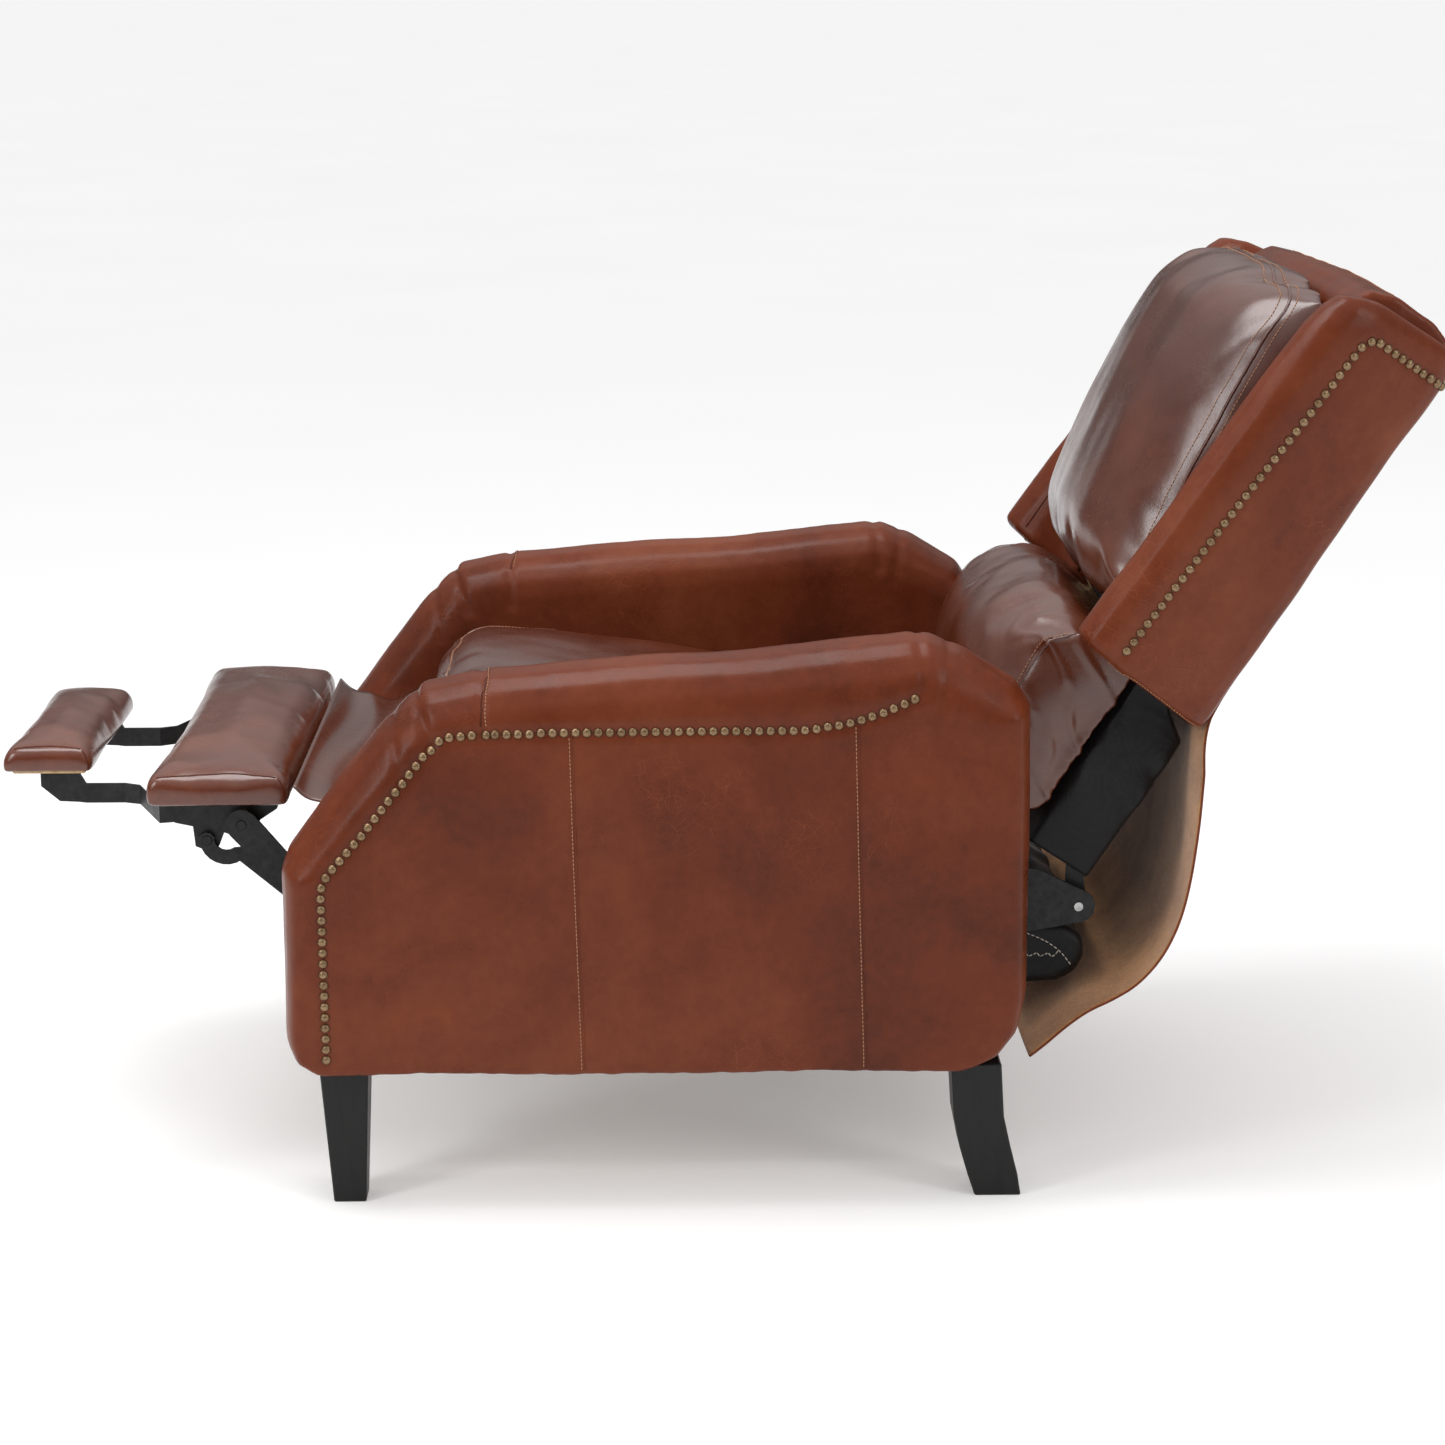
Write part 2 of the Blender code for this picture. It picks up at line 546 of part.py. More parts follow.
WING_SECTION = [
    (0.272, -0.0140), (0.286, -0.0090), (0.300, -0.0130), (0.312, -0.0280), (0.328, -0.0600), (0.344, -0.0980),
    (0.356, -0.1320), (0.3620, -0.1580), (0.3580, -0.1760), (0.3450, -0.1880), (0.3260, -0.1890), (0.3080, -0.1780),
    (0.2960, -0.1560), (0.2860, -0.1200), (0.2720, -0.0900)]
WING_BOTTOM = (0.231, 0.252)      # height at the rear and at the front of the wing's lower edge
WING_FRONT_Y = -0.189


def wing_bottom(y):
    share = (y - BACK_REAR_Y) / (WING_FRONT_Y - BACK_REAR_Y)
    return WING_BOTTOM[0] + (WING_BOTTOM[1] - WING_BOTTOM[0]) * share


def wing_top(y):
    """Top edge: level at the rear, falling in an elliptical shoulder to the front roll."""
    shoulder = 0.085
    reach = max(0.0, (BACK_REAR_Y - 0.096) - y) / shoulder
    return 0.6960 - 0.060 * (1 - math.sqrt(max(0.0, 1 - min(reach, 1.0) ** 2)))


def wing_rings():
    weights = [1.0] * len(WING_SECTION)
    rings = []
    for share, inset in ((0.0, 0.008), (0.012, 0.0), (0.35, 0.0), (0.7, 0.0), (0.93, 0.0), (0.975, 0.004), (1.0, 0.012)):
        taper = 0.014 * share
        section = offset_outline(WING_SECTION, inset, weights)
        ring = []
        for x, y in section:
            pulled = y + taper * max(0.0, (BACK_REAR_Y - y) / (BACK_REAR_Y - WING_FRONT_Y))
            ring.append((x, pulled, wing_bottom(pulled) + share * (wing_top(pulled) - wing_bottom(pulled))))
        rings.append(ring)
    return rings


def make_wings(mats, hinge):
    for word, side in SIDES:
        finish("wing_" + word, mirror_x(loft(wing_rings()), side), mats["leather"], parent=hinge)


def make_outside_back(mats, hinge):
    """Rear panel and top roll between the wings, one leather-covered piece."""
    outline = [(BACK_REAR_Y, 0.2320), (BACK_REAR_Y, 0.680), (-0.020, 0.702), (-0.048, 0.712), (-0.095, 0.712),
               (-0.122, 0.702), (-0.134, 0.684), (-0.134, 0.666), (-0.032, 0.664), (-0.032, 0.2320)]
    reach = WING_INNER_X - GAP
    finish("outside_back", slab(outline, -reach, reach), mats["leather"], parent=hinge)


def make_back_cushion(mats, hinge):
    outline = [(-0.0905, 0.275), (-0.0905, 0.655), (-0.139, 0.657), (-0.146, 0.692), (-0.185, 0.680),
               (-0.222, 0.655), (-0.238, 0.605), (-0.235, 0.530), (-0.226, 0.456), (-0.213, 0.380), (-0.198, 0.310),
               (-0.170, 0.278)]
    weights = [0.0, 0.0, 0.1, 0.3, 0.6, 0.9, 1.0, 1.0, 1.0, 1.0, 0.9, 0.5]
    finish("back_cushion", pillow(outline, weights, crowned_stations(CUSHION_HALF_X, 0.060)),
           mats["cushion_leather"], parent=hinge)


def make_lumbar_cushion(mats, hinge):
    outline = [(-0.0905, 0.062), (-0.0905, 0.266), (-0.165, 0.268), (-0.220, 0.256), (-0.240, 0.215), (-0.236, 0.150),
               (-0.212, 0.098), (-0.196, 0.083), (-0.150, 0.054), (-0.120, 0.048)]
    weights = [0.0, 0.0, 0.4, 0.8, 1.0, 1.0, 0.6, 0.3, 0.0, 0.0]
    finish("lumbar_cushion", pillow(outline, weights, crowned_stations(0.255, 0.050)),
           mats["cushion_leather"], parent=hinge)


# ---------------------------------------------------------------- rear flap
FLAP_PATH = [(0.7945, 0.1460), (0.8070, 0.1570), (0.8280, 0.1770), (0.8530, 0.1950), (0.8800, 0.2050), (0.9090, 0.2200),
             (0.9370, 0.2510), (0.9540, 0.2880), (0.9630, 0.3300), (0.9680, 0.3900), (0.9700, 0.4400), (0.9720, 0.4860)]


def make_flap(mats):
    """Leather sheet that hangs from the back's lower edge to the rear of the base and bows out when reclined."""
    halves = [0.318 - 0.0005 * i for i in range(len(FLAP_PATH))]
    finish("rear_flap", sheet(FLAP_PATH, -0.003, halves), mats["flap_leather"])


# ---------------------------------------------------------------- nailhead trim
def resample(points, spacing):
    """Points at an even spacing along a polyline of 3-D points, with both ends kept."""
    points = [Vector(point) for point in points]
    lengths = [(b - a).length for a, b in zip(points, points[1:])]
    total = sum(lengths)
    count = max(2, round(total / spacing))
    placed = []
    for i in range(count + 1):
        target = total * i / count
        run = 0.0
        for a, b, length in zip(points, points[1:], lengths):
            if target <= run + length + 1e-9:
                placed.append(a.lerp(b, (target - run) / length))
                break
            run += length
    return placed


def nail_strip(points, out):
    """Strip of nailheads facing out: a narrow band that swells to a low dome at every nail."""
    spots = resample(points, NAIL_PITCH / 2)
    rings = []
    for i, spot in enumerate(spots):
        along = (spots[min(i + 1, len(spots) - 1)] - spots[max(i - 1, 0)]).normalized()
        across = along.cross(out).normalized()
        half = NAIL_RADIUS if i % 2 else 0.0016
        rise = 0.0026 if i % 2 else 0.0008
        rings.append([spot - across * half, spot + across * half, spot + across * half * 0.5 + out * rise,
                      spot - across * half * 0.5 + out * rise])
    return loft(rings)


ARM_NAIL_LINE = [(0.058, 0.163), (0.057, 0.352), (0.064, 0.368), (0.099, 0.408), (0.141, 0.462), (0.170, 0.500),
                 (0.186, 0.511), (0.223, 0.515), (0.546, 0.517), (0.596, 0.524), (0.637, 0.537), (0.667, 0.552)]
WING_NAIL_RISE = [(-0.1400, 0.262), (-0.1290, 0.480), (-0.1200, 0.648)]
WING_FACE_NORMAL = Vector((0.92, 0.39, 0.0))


def make_arm_trim(mats):
    for word, side in SIDES:
        line = [(ARM_OUTER_X + GAP, y, z) for y, z in ARM_NAIL_LINE]
        strip = nail_strip(line, Vector((1.0, 0.0, 0.0)))
        finish("arm_nail_trim_" + word, mirror_x(strip, side), mats["brass"])


def wing_outer_x(y, share):
    """Outer face of a wing at depth y, at a share of its height."""
    taper = 0.014 * share
    outer = []
    for x, depth in WING_SECTION[2:9]:
        outer.append((depth + taper * (BACK_REAR_Y - depth) / (BACK_REAR_Y - WING_FRONT_Y), x))
    for (y0, x0), (y1, x1) in zip(outer, outer[1:]):
        if y1 <= y <= y0:
            return x0 + (x1 - x0) * (y - y0) / (y1 - y0)
    return outer[0][1]


def make_back_trim(mats, hinge):
    lift = 0.0012
    line = []
    for y, z in WING_NAIL_RISE:
        share = (z - 0.25) / 0.44
        line.append((wing_outer_x(y, share) + lift, y, z))
    for y in (-0.112, -0.090, -0.060, -0.036):
        line.append((wing_outer_x(y, 0.93) + lift, y, 0.662))
    for word, side in SIDES:
        strip = nail_strip(line, WING_FACE_NORMAL)
        finish("wing_nail_trim_" + word, mirror_x(strip, side), mats["brass"], parent=hinge)
    reach = 0.264
    across = [(-reach, BACK_REAR_Y + GAP, 0.662), (reach, BACK_REAR_Y + GAP, 0.662)]
    finish("back_nail_trim", nail_strip(across, Vector((0.0, 1.0, 0.0))), mats["brass"], parent=hinge)


def build():
    clear_scene()
    mats = make_materials()
    make_arms(mats)
    make_legs(mats)
    make_rails(mats)
    make_base_plates(mats)
    make_swing_links(mats)
    make_side_plates(mats)
    make_footrest_links(mats)
    make_footrest_brackets(mats)
    make_flipper_bars(mats)
    make_footrest(mats)
    make_flipper(mats)
    make_seat_frame(mats)
    make_seat_springs(mats)
    make_seat_cushion(mats)
    make_seat_dust_cover(mats)
    make_footrest_web(mats)
    make_flap(mats)
    make_arm_trim(mats)
    hinge = back_hinge_empty()
    make_back_frame(mats, hinge)
    make_back_brackets(mats, hinge)
    make_lower_back_cover(mats, hinge)
    make_wings(mats, hinge)
    make_outside_back(mats, hinge)
    make_back_cushion(mats, hinge)
    make_lumbar_cushion(mats, hinge)
    make_back_trim(mats, hinge)


build()
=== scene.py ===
"""Looks for the push-back recliner armchair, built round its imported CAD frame."""
import json
import math
import random

import bmesh
import bpy
import numpy as np
from mathutils import Matrix, Vector
from mathutils.bvhtree import BVHTree


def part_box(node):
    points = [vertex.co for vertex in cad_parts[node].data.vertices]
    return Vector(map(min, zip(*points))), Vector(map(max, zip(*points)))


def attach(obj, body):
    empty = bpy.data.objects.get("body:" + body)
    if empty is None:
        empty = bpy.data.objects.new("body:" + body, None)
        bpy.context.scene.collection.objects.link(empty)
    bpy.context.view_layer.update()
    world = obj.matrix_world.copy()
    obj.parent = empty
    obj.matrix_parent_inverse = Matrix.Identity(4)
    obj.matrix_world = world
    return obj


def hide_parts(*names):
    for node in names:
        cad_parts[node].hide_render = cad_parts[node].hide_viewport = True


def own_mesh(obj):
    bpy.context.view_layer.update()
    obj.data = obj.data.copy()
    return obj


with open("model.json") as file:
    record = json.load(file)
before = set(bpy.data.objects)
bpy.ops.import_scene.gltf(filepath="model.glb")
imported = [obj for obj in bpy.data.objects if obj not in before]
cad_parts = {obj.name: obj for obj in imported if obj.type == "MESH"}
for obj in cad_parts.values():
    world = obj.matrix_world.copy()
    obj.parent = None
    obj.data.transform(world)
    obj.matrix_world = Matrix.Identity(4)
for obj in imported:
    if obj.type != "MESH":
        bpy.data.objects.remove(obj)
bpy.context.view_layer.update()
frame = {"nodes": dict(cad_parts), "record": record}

# ---------------------------------------------------------------- places read from the frame
SIDES = (("left", 1), ("right", -1))
ARM_FRONT = 0.014                                   # front of an arm, measured from the datum plane
DATUM_Y = ARM_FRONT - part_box("arm_cover_left")[0][1]
ARM_OUTER_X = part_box("arm_cover_left")[1][0]
HINGES = {j["name"]: j["pos_m"] for j in frame["record"]["behaviour"]["joints"]}
BACK_PIVOT = HINGES["back_recline_hinge"]
RECLINE = math.radians(33.0)
LEAN_COS, LEAN_SIN = math.cos(RECLINE), math.sin(RECLINE)
NAIL_PITCH = 0.0116
NAIL_RADIUS, NAIL_HEIGHT = 0.0051, 0.0038
NAIL_GROOVE = (0.0065, 0.0022)                      # width and depth of the dip that a row of nails pulls
SHELL_VOXEL = 0.0045
RNG = random.Random(7)


def at(x, y, z):
    """A point drawn from the datum plane, in the row frame."""
    return Vector((x, y - DATUM_Y, z))


def on_back(x, y, z):
    """A point drawn in the back's own upright frame, in the row frame."""
    return Vector((x,
                   BACK_PIVOT[1] + y * LEAN_COS + z * LEAN_SIN,
                   BACK_PIVOT[2] - y * LEAN_SIN + z * LEAN_COS))


def to_back(co):
    """Row-frame points (N x 3) in the back's own upright frame."""
    y, z = co[:, 1] - BACK_PIVOT[1], co[:, 2] - BACK_PIVOT[2]
    return np.column_stack((co[:, 0], y * LEAN_COS - z * LEAN_SIN, y * LEAN_SIN + z * LEAN_COS))


# ---------------------------------------------------------------- node materials
def shade(colour, share):
    return tuple(share * c for c in colour)


class Shader:
    """A Principled material under construction."""

    def __init__(self, name):
        self.made = bpy.data.materials.new(name)
        self.made.use_nodes = True
        self.tree = self.made.node_tree
        self.bsdf = self.tree.nodes["Principled BSDF"]
        self.place = self.node("ShaderNodeTexCoord").outputs["Object"]

    def node(self, kind, inputs=None, **settings):
        made = self.tree.nodes.new(kind)
        for key, value in settings.items():
            setattr(made, key, value)
        for key, value in (inputs or {}).items():
            if isinstance(value, bpy.types.NodeSocket):
                self.tree.links.new(value, made.inputs[key])
            else:
                made.inputs[key].default_value = value
        return made

    def set(self, **values):
        for key, value in values.items():
            socket = self.bsdf.inputs[key.replace("_", " ")]
            if isinstance(value, bpy.types.NodeSocket):
                self.tree.links.new(value, socket)
            else:
                socket.default_value = value

    def noise(self, scale, detail=3.0, rough=0.55, at_point=None, warp=0.0):
        inputs = {"Vector": at_point or self.place, "Scale": scale, "Detail": detail, "Roughness": rough,
                  "Distortion": warp}
        return self.node("ShaderNodeTexNoise", inputs).outputs["Fac"]

    def cells(self, scale, feature="DISTANCE_TO_EDGE", at_point=None):
        inputs = {"Vector": at_point or self.place, "Scale": scale}
        return self.node("ShaderNodeTexVoronoi", inputs, feature=feature).outputs["Distance"]

    def math(self, operation, a, b=0.0):
        return self.node("ShaderNodeMath", {0: a, 1: b}, operation=operation).outputs[0]

    def vector_math(self, operation, a, inputs):
        return self.node("ShaderNodeVectorMath", {0: a, **inputs}, operation=operation).outputs[0]

    def span(self, value, low, high, out_low=0.0, out_high=1.0):
        made = self.node("ShaderNodeMapRange", {"Value": value, "From Min": low, "From Max": high,
                                                "To Min": out_low, "To Max": out_high})
        return made.outputs["Result"]

    def stretched(self, scale):
        return self.vector_math("MULTIPLY", self.place, {1: scale})

    def wobbled(self, scale, amount):
        """The surface point pushed about by noise, so that cell patterns don't look ruled."""
        noise = self.node("ShaderNodeTexNoise", {"Vector": self.place, "Scale": scale, "Detail": 2.0})
        centred = self.vector_math("SUBTRACT", noise.outputs["Color"], {1: (0.5, 0.5, 0.5)})
        sized = self.vector_math("SCALE", centred, {"Scale": amount})
        return self.vector_math("ADD", self.place, {1: sized})

    def ramp(self, value, stops):
        made = self.node("ShaderNodeValToRGB", {"Fac": value})
        bands = made.color_ramp.elements
        for spot, (place, colour) in enumerate(stops):
            band = bands[spot] if spot < 2 else bands.new(place)
            band.position = place
            band.color = (*colour, 1.0)
        return made.outputs["Color"]

    def mix(self, share, a, b):
        made = self.node("ShaderNodeMix", data_type="RGBA")
        for spot, value in ((0, share), (6, a), (7, b)):
            if isinstance(value, bpy.types.NodeSocket):
                self.tree.links.new(value, made.inputs[spot])
            elif spot == 0:
                made.inputs[0].default_value = value
            else:
                made.inputs[spot].default_value = (*value, 1.0)
        return made.outputs[2]

    def bump(self, height, distance, strength=1.0, under=None):
        inputs = {"Height": height, "Distance": distance, "Strength": strength}
        if under is not None:
            inputs["Normal"] = under
        return self.node("ShaderNodeBump", inputs).outputs["Normal"]


def leather(name, deep, body, light, cracks=0.5, gloss=0.30, wax=0.0):
    """Waxed pull-up leather: cloudy tone, pale cracks where it has flexed, fine grain and a soft shine."""
    s = Shader(name)
    clouds = s.noise(2.6, 3.0, 0.55, warp=0.6)
    blotches = s.noise(11.0, 5.0, 0.62, warp=0.4)
    specks = s.noise(85.0, 4.0, 0.6)
    tone = s.math("ADD", s.math("MULTIPLY", clouds, 0.52), s.math("MULTIPLY", blotches, 0.34))
    tone = s.math("ADD", tone, s.math("MULTIPLY", specks, 0.14))
    colour = s.ramp(tone, [(0.30, deep), (0.68, light), (0.50, body)])
    bent = s.wobbled(26.0, 0.030)
    crack = s.span(s.cells(62.0, at_point=bent), 0.0, 0.030, 1.0, 0.0)
    fine_crack = s.span(s.cells(150.0, at_point=bent), 0.0, 0.05, 1.0, 0.0)
    worn = s.span(s.noise(6.0, 4.0, 0.65), 0.52, 0.72)
    crack = s.math("MULTIPLY", s.math("MAXIMUM", crack, s.math("MULTIPLY", fine_crack, 0.5)), worn)
    scratch = s.span(s.noise(9.0, 6.0, 0.75, at_point=s.stretched((1.0, 3.0, 9.0))), 0.60, 0.66)
    scuffed = s.math("MULTIPLY", scratch, s.span(s.noise(3.4, 2.0), 0.5, 0.7))
    pale = tuple(min(1.0, 1.6 * c + 0.01) for c in light)
    colour = s.mix(s.math("MULTIPLY", crack, cracks), colour, pale)
    colour = s.mix(s.math("MULTIPLY", scuffed, 0.35), colour, light)
    s.set(Base_Color=colour, Roughness=s.math("ADD", s.span(blotches, 0.35, 0.7, gloss - 0.05, gloss + 0.10),
                                              s.math("MULTIPLY", crack, 0.12)))
    s.set(Specular_IOR_Level=0.16 + 0.30 * wax, Coat_Weight=0.60 * wax, Coat_Roughness=0.24)
    grain = s.bump(s.cells(620.0, "F1"), 0.00022, 0.30)
    pores = s.bump(s.noise(260.0, 4.0, 0.6), 0.00050, 0.25, grain)
    folds = s.bump(s.math("MULTIPLY", crack, -1.0), 0.0005, 0.30, pores)
    s.set(Normal=s.bump(s.noise(24.0, 3.0, 0.5), 0.0030, 0.12, folds))
    return s.made


def blend(s, a, share_a, b, share_b):
    """Two values added in the given shares."""
    return s.math("ADD", s.math("MULTIPLY", a, share_a), s.math("MULTIPLY", b, share_b))


def suede(name):
    s = Shader(name)
    tone = blend(s, s.noise(14.0, 4.0), 0.6, s.noise(240.0, 4.0), 0.4)
    colour = s.ramp(tone, [(0.34, (0.31, 0.130, 0.042)), (0.66, (0.60, 0.30, 0.115))])
    s.set(Base_Color=colour, Roughness=0.96)
    s.set(Sheen_Weight=0.35, Sheen_Roughness=0.5, Normal=s.bump(s.noise(420.0, 5.0, 0.7), 0.0009, 0.6))
    return s.made


def metal(name, dark, bright, roughness, metallic, scale=160.0):
    s = Shader(name)
    patina = blend(s, s.noise(scale, 4.0), 0.65, s.noise(38.0, 3.0), 0.35)
    s.set(Base_Color=s.ramp(patina, [(0.36, dark), (0.62, bright)]))
    s.set(Metallic=metallic, Specular_IOR_Level=0.3)
    s.set(Roughness=s.span(patina, 0.3, 0.7, roughness + 0.10, roughness - 0.06))
    s.set(Normal=s.bump(s.noise(scale * 5.0, 3.0), 0.00018, 0.4))
    return s.made


def wood(name, dark, bright, roughness, along=(26.0, 26.0, 1.6), coat=0.0):
    s = Shader(name)
    figure = s.noise(3.0, 6.0, 0.65, at_point=s.stretched(along), warp=0.8)
    pores = s.noise(16.0, 3.0, 0.6, at_point=s.stretched(along))
    tone = blend(s, figure, 0.7, pores, 0.3)
    s.set(Base_Color=s.ramp(tone, [(0.32, dark), (0.68, bright)]), Coat_Weight=coat, Coat_Roughness=0.25)
    s.set(Roughness=s.span(figure, 0.3, 0.7, roughness - 0.06, roughness + 0.08))
    s.set(Normal=s.bump(tone, 0.0006, 0.5), Specular_IOR_Level=0.25)
    return s.made


def cloth(name, dark, bright, roughness, sheen, threads=1500.0):
    s = Shader(name)
    across = s.node("ShaderNodeTexWave", {"Vector": s.place, "Scale": threads / 6.3}, bands_direction="X")
    down = s.node("ShaderNodeTexWave", {"Vector": s.place, "Scale": threads / 6.3}, bands_direction="Z")
    weave = s.math("MULTIPLY", across.outputs["Fac"], down.outputs["Fac"])
    lint = s.noise(70.0, 5.0, 0.7)
    s.set(Base_Color=s.ramp(blend(s, weave, 0.4, lint, 0.6), [(0.25, dark), (0.75, bright)]))
    s.set(Roughness=roughness, Sheen_Weight=sheen, Sheen_Roughness=0.45, Specular_IOR_Level=0.25)
    s.set(Normal=s.bump(s.noise(36.0, 4.0), 0.0016, 0.4, s.bump(weave, 0.0002, 0.6)))
    return s.made


def twisted(name, colour):
    s = Shader(name)
    tone = s.noise(700.0, 3.0)
    s.set(Base_Color=s.ramp(tone, [(0.3, shade(colour, 0.6)), (0.7, colour)]), Roughness=0.6)
    s.set(Normal=s.bump(tone, 0.0003, 0.6))
    return s.made


DEEP, BODY, LIGHT = (0.052, 0.0108, 0.0045), (0.122, 0.0245, 0.0085), (0.176, 0.0430, 0.0150)
LOOK = {
    "outer_leather": leather("waxed_outer_leather", DEEP, BODY, LIGHT, 0.40, 0.31),
    "cushion_leather": leather("waxed_cushion_leather", shade(DEEP, 0.75), shade(BODY, 0.62),
                               shade(LIGHT, 0.66), 0.22, 0.27, 1.0),
    "pad_leather": leather("waxed_pad_leather", shade(DEEP, 0.75), shade(BODY, 0.75), shade(LIGHT, 0.85),
                           0.25, 0.22, 0.8),
    "seam_leather": leather("seam_leather", shade(DEEP, 0.5), shade(BODY, 0.55), shade(LIGHT, 0.6),
                            0.1, 0.42),
    "suede": suede("tan_suede"),
    "nail_brass": metal("antique_brass", (0.115, 0.070, 0.036), (0.30, 0.20, 0.115), 0.33, 0.90, 900.0),
    "black_steel": metal("black_powder_coat", (0.004, 0.004, 0.0045), (0.013, 0.013, 0.014), 0.46, 0.0),
    "spring_steel": metal("dark_spring_wire", (0.02, 0.02, 0.022), (0.09, 0.09, 0.095), 0.38, 0.8),
    "pin_steel": metal("zinc_pin", (0.20, 0.20, 0.21), (0.46, 0.46, 0.45), 0.34, 0.95),
    "leg_wood": wood("ebonised_wood", (0.0025, 0.0024, 0.0024), (0.010, 0.0092, 0.009), 0.44, coat=0.06),
    "frame_wood": wood("bare_frame_wood", (0.34, 0.20, 0.09), (0.62, 0.44, 0.25), 0.68, (3.0, 30.0, 30.0)),
    "black_cambric": cloth("black_lining_cloth", (0.0025, 0.0025, 0.003), (0.011, 0.011, 0.0125), 0.50, 0.05),
    "brown_thread": twisted("brown_thread", (0.42, 0.19, 0.095)),
    "white_thread": twisted("white_thread", (0.62, 0.58, 0.50)),
    "green_nylon": twisted("green_nylon", (0.05, 0.30, 0.14)),
}


# ---------------------------------------------------------------- mesh helpers
def new_object(name, mesh, look, body=None):
    made = bpy.data.objects.new(name, mesh)
    bpy.context.scene.collection.objects.link(made)
    if not mesh.materials:
        mesh.materials.append(LOOK[look])
    if body:
        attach(made, body)
    return made


def mesh_of(name, points, faces, smooth=True):
    mesh = bpy.data.meshes.new(name)
    mesh.from_pydata([tuple(p) for p in points], [], faces)
    mesh.update()
    if smooth:
        mesh.shade_smooth()
    return mesh


def baked(obj):
    """Replace an object's mesh by what its modifiers make of it."""
    bpy.context.view_layer.update()
    grown = bpy.data.meshes.new_from_object(obj.evaluated_get(bpy.context.evaluated_depsgraph_get()))
    obj.modifiers.clear()
    obj.data = grown
    grown.shade_smooth()
    return obj


def coords(mesh):
    co = np.empty(len(mesh.vertices) * 3)
    mesh.vertices.foreach_get("co", co)
    return co.reshape(-1, 3)


def set_coords(mesh, co):
    mesh.vertices.foreach_set("co", np.ascontiguousarray(co).ravel())
    mesh.update()


def normals(mesh):
    out = np.empty(len(mesh.vertices) * 3)
    mesh.vertex_normals.foreach_get("vector", out)
    return out.reshape(-1, 3)


def rewrapped(obj, voxel, rounds):
    """Even quads over the object's surface, relaxed so that hard corners become upholstered ones."""
    wrap = obj.modifiers.new("wrap", "REMESH")
    wrap.mode = "VOXEL"
    wrap.voxel_size = voxel
    relax = obj.modifiers.new("relax", "SMOOTH")
    relax.iterations = rounds
    return baked(obj)


def skin(name, node, look, voxel, rounds):
    """A soft copy of a CAD node's own surface."""
    mesh = frame["nodes"][node].data.copy()
    mesh.materials.clear()
    return rewrapped(new_object(name, mesh, look), voxel, rounds)


def ripples(co, waves, length, seed):
    """Smooth random height from -1 to 1 with features about one length across."""
    rng = np.random.default_rng(seed)
    total = np.zeros(len(co))
    for _ in range(waves):
        direction = rng.normal(size=3)
        direction *= 2 * math.pi / (length * rng.uniform(0.7, 1.5) * np.linalg.norm(direction))
        total += np.sin(co @ direction + rng.uniform(0, 2 * math.pi))
    return total / math.sqrt(waves)


def line_distance(points, path):
    """Distance of 2-D points from a polyline."""
    best = np.full(len(points), 1e9)
    for a, b in zip(np.array(path[:-1], float), np.array(path[1:], float)):
        along = b - a
        share = np.clip(((points - a) @ along) / (along @ along), 0, 1)
        best = np.minimum(best, np.linalg.norm(points - a - share[:, None] * along, axis=1))
    return best


def faced_outwards(mesh):
    """Turn every face of a closed mesh to point out of it."""
    tidy = bmesh.new()
    tidy.from_mesh(mesh)
    bmesh.ops.recalc_face_normals(tidy, faces=tidy.faces)
    tidy.to_mesh(mesh)
    tidy.free()
    return mesh


def groove(distance, width, depth):
    return -depth * np.exp(-(distance / width) ** 2)


def surface(obj):
    """A tree of the object's surface, for laying seams and nails on it."""
    return BVHTree.FromPolygons([v.co for v in obj.data.vertices], [p.vertices for p in obj.data.polygons])


def settle(obj, body, node):
    """Put a padded piece in place of its CAD node, and return its surface tree."""
    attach(obj, body)
    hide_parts(node)
    return surface(obj)


def wrinkle(obj, height):
    """Lift every point along its normal by what height(points, normals) says."""
    co, out = coords(obj.data), normals(obj.data)
    set_coords(obj.data, co + out * height(co, out)[:, None])


def resample(points, spacing):
    points = [Vector(p) for p in points]
    lengths = [(b - a).length for a, b in zip(points, points[1:])]
    total = sum(lengths)
    count = max(2, round(total / spacing))
    placed, index, run = [], 0, 0.0
    for i in range(count + 1):
        target = total * i / count
        while index < len(lengths) - 1 and target > run + lengths[index]:
            run += lengths[index]
            index += 1
        placed.append(points[index].lerp(points[index + 1], min(1.0, (target - run) / lengths[index])))
    return placed


def smoothed(points, rounds=2):
    """Corner-cut polyline that keeps its ends."""
    for _ in range(rounds):
        cut = [points[0]]
        for a, b in zip(points, points[1:]):
            cut += [a.lerp(b, 0.25), a.lerp(b, 0.75)]
        points = cut + [points[-1]]
    return points


def laid(points, tree, lift=0.0):
    """Points dropped onto a surface, with its normal at each."""
    spots = []
    for point in points:
        place, normal, _, _ = tree.find_nearest(point)
        spots.append((place + normal * lift, normal))
    return spots


def tube_rows(spots, radius, sides=8, squash=1.0):
    rows = []
    for i, (place, normal) in enumerate(spots):
        along = spots[min(i + 1, len(spots) - 1)][0] - spots[max(i - 1, 0)][0]
        across = along.cross(normal).normalized()
        out = across.cross(along).normalized()
        if out.dot(normal) < 0:
            out = -out
        rows.append([place + across * radius * math.cos(a) + out * radius * squash * math.sin(a)
                     for a in (2 * math.pi * k / sides for k in range(sides))])
    return rows


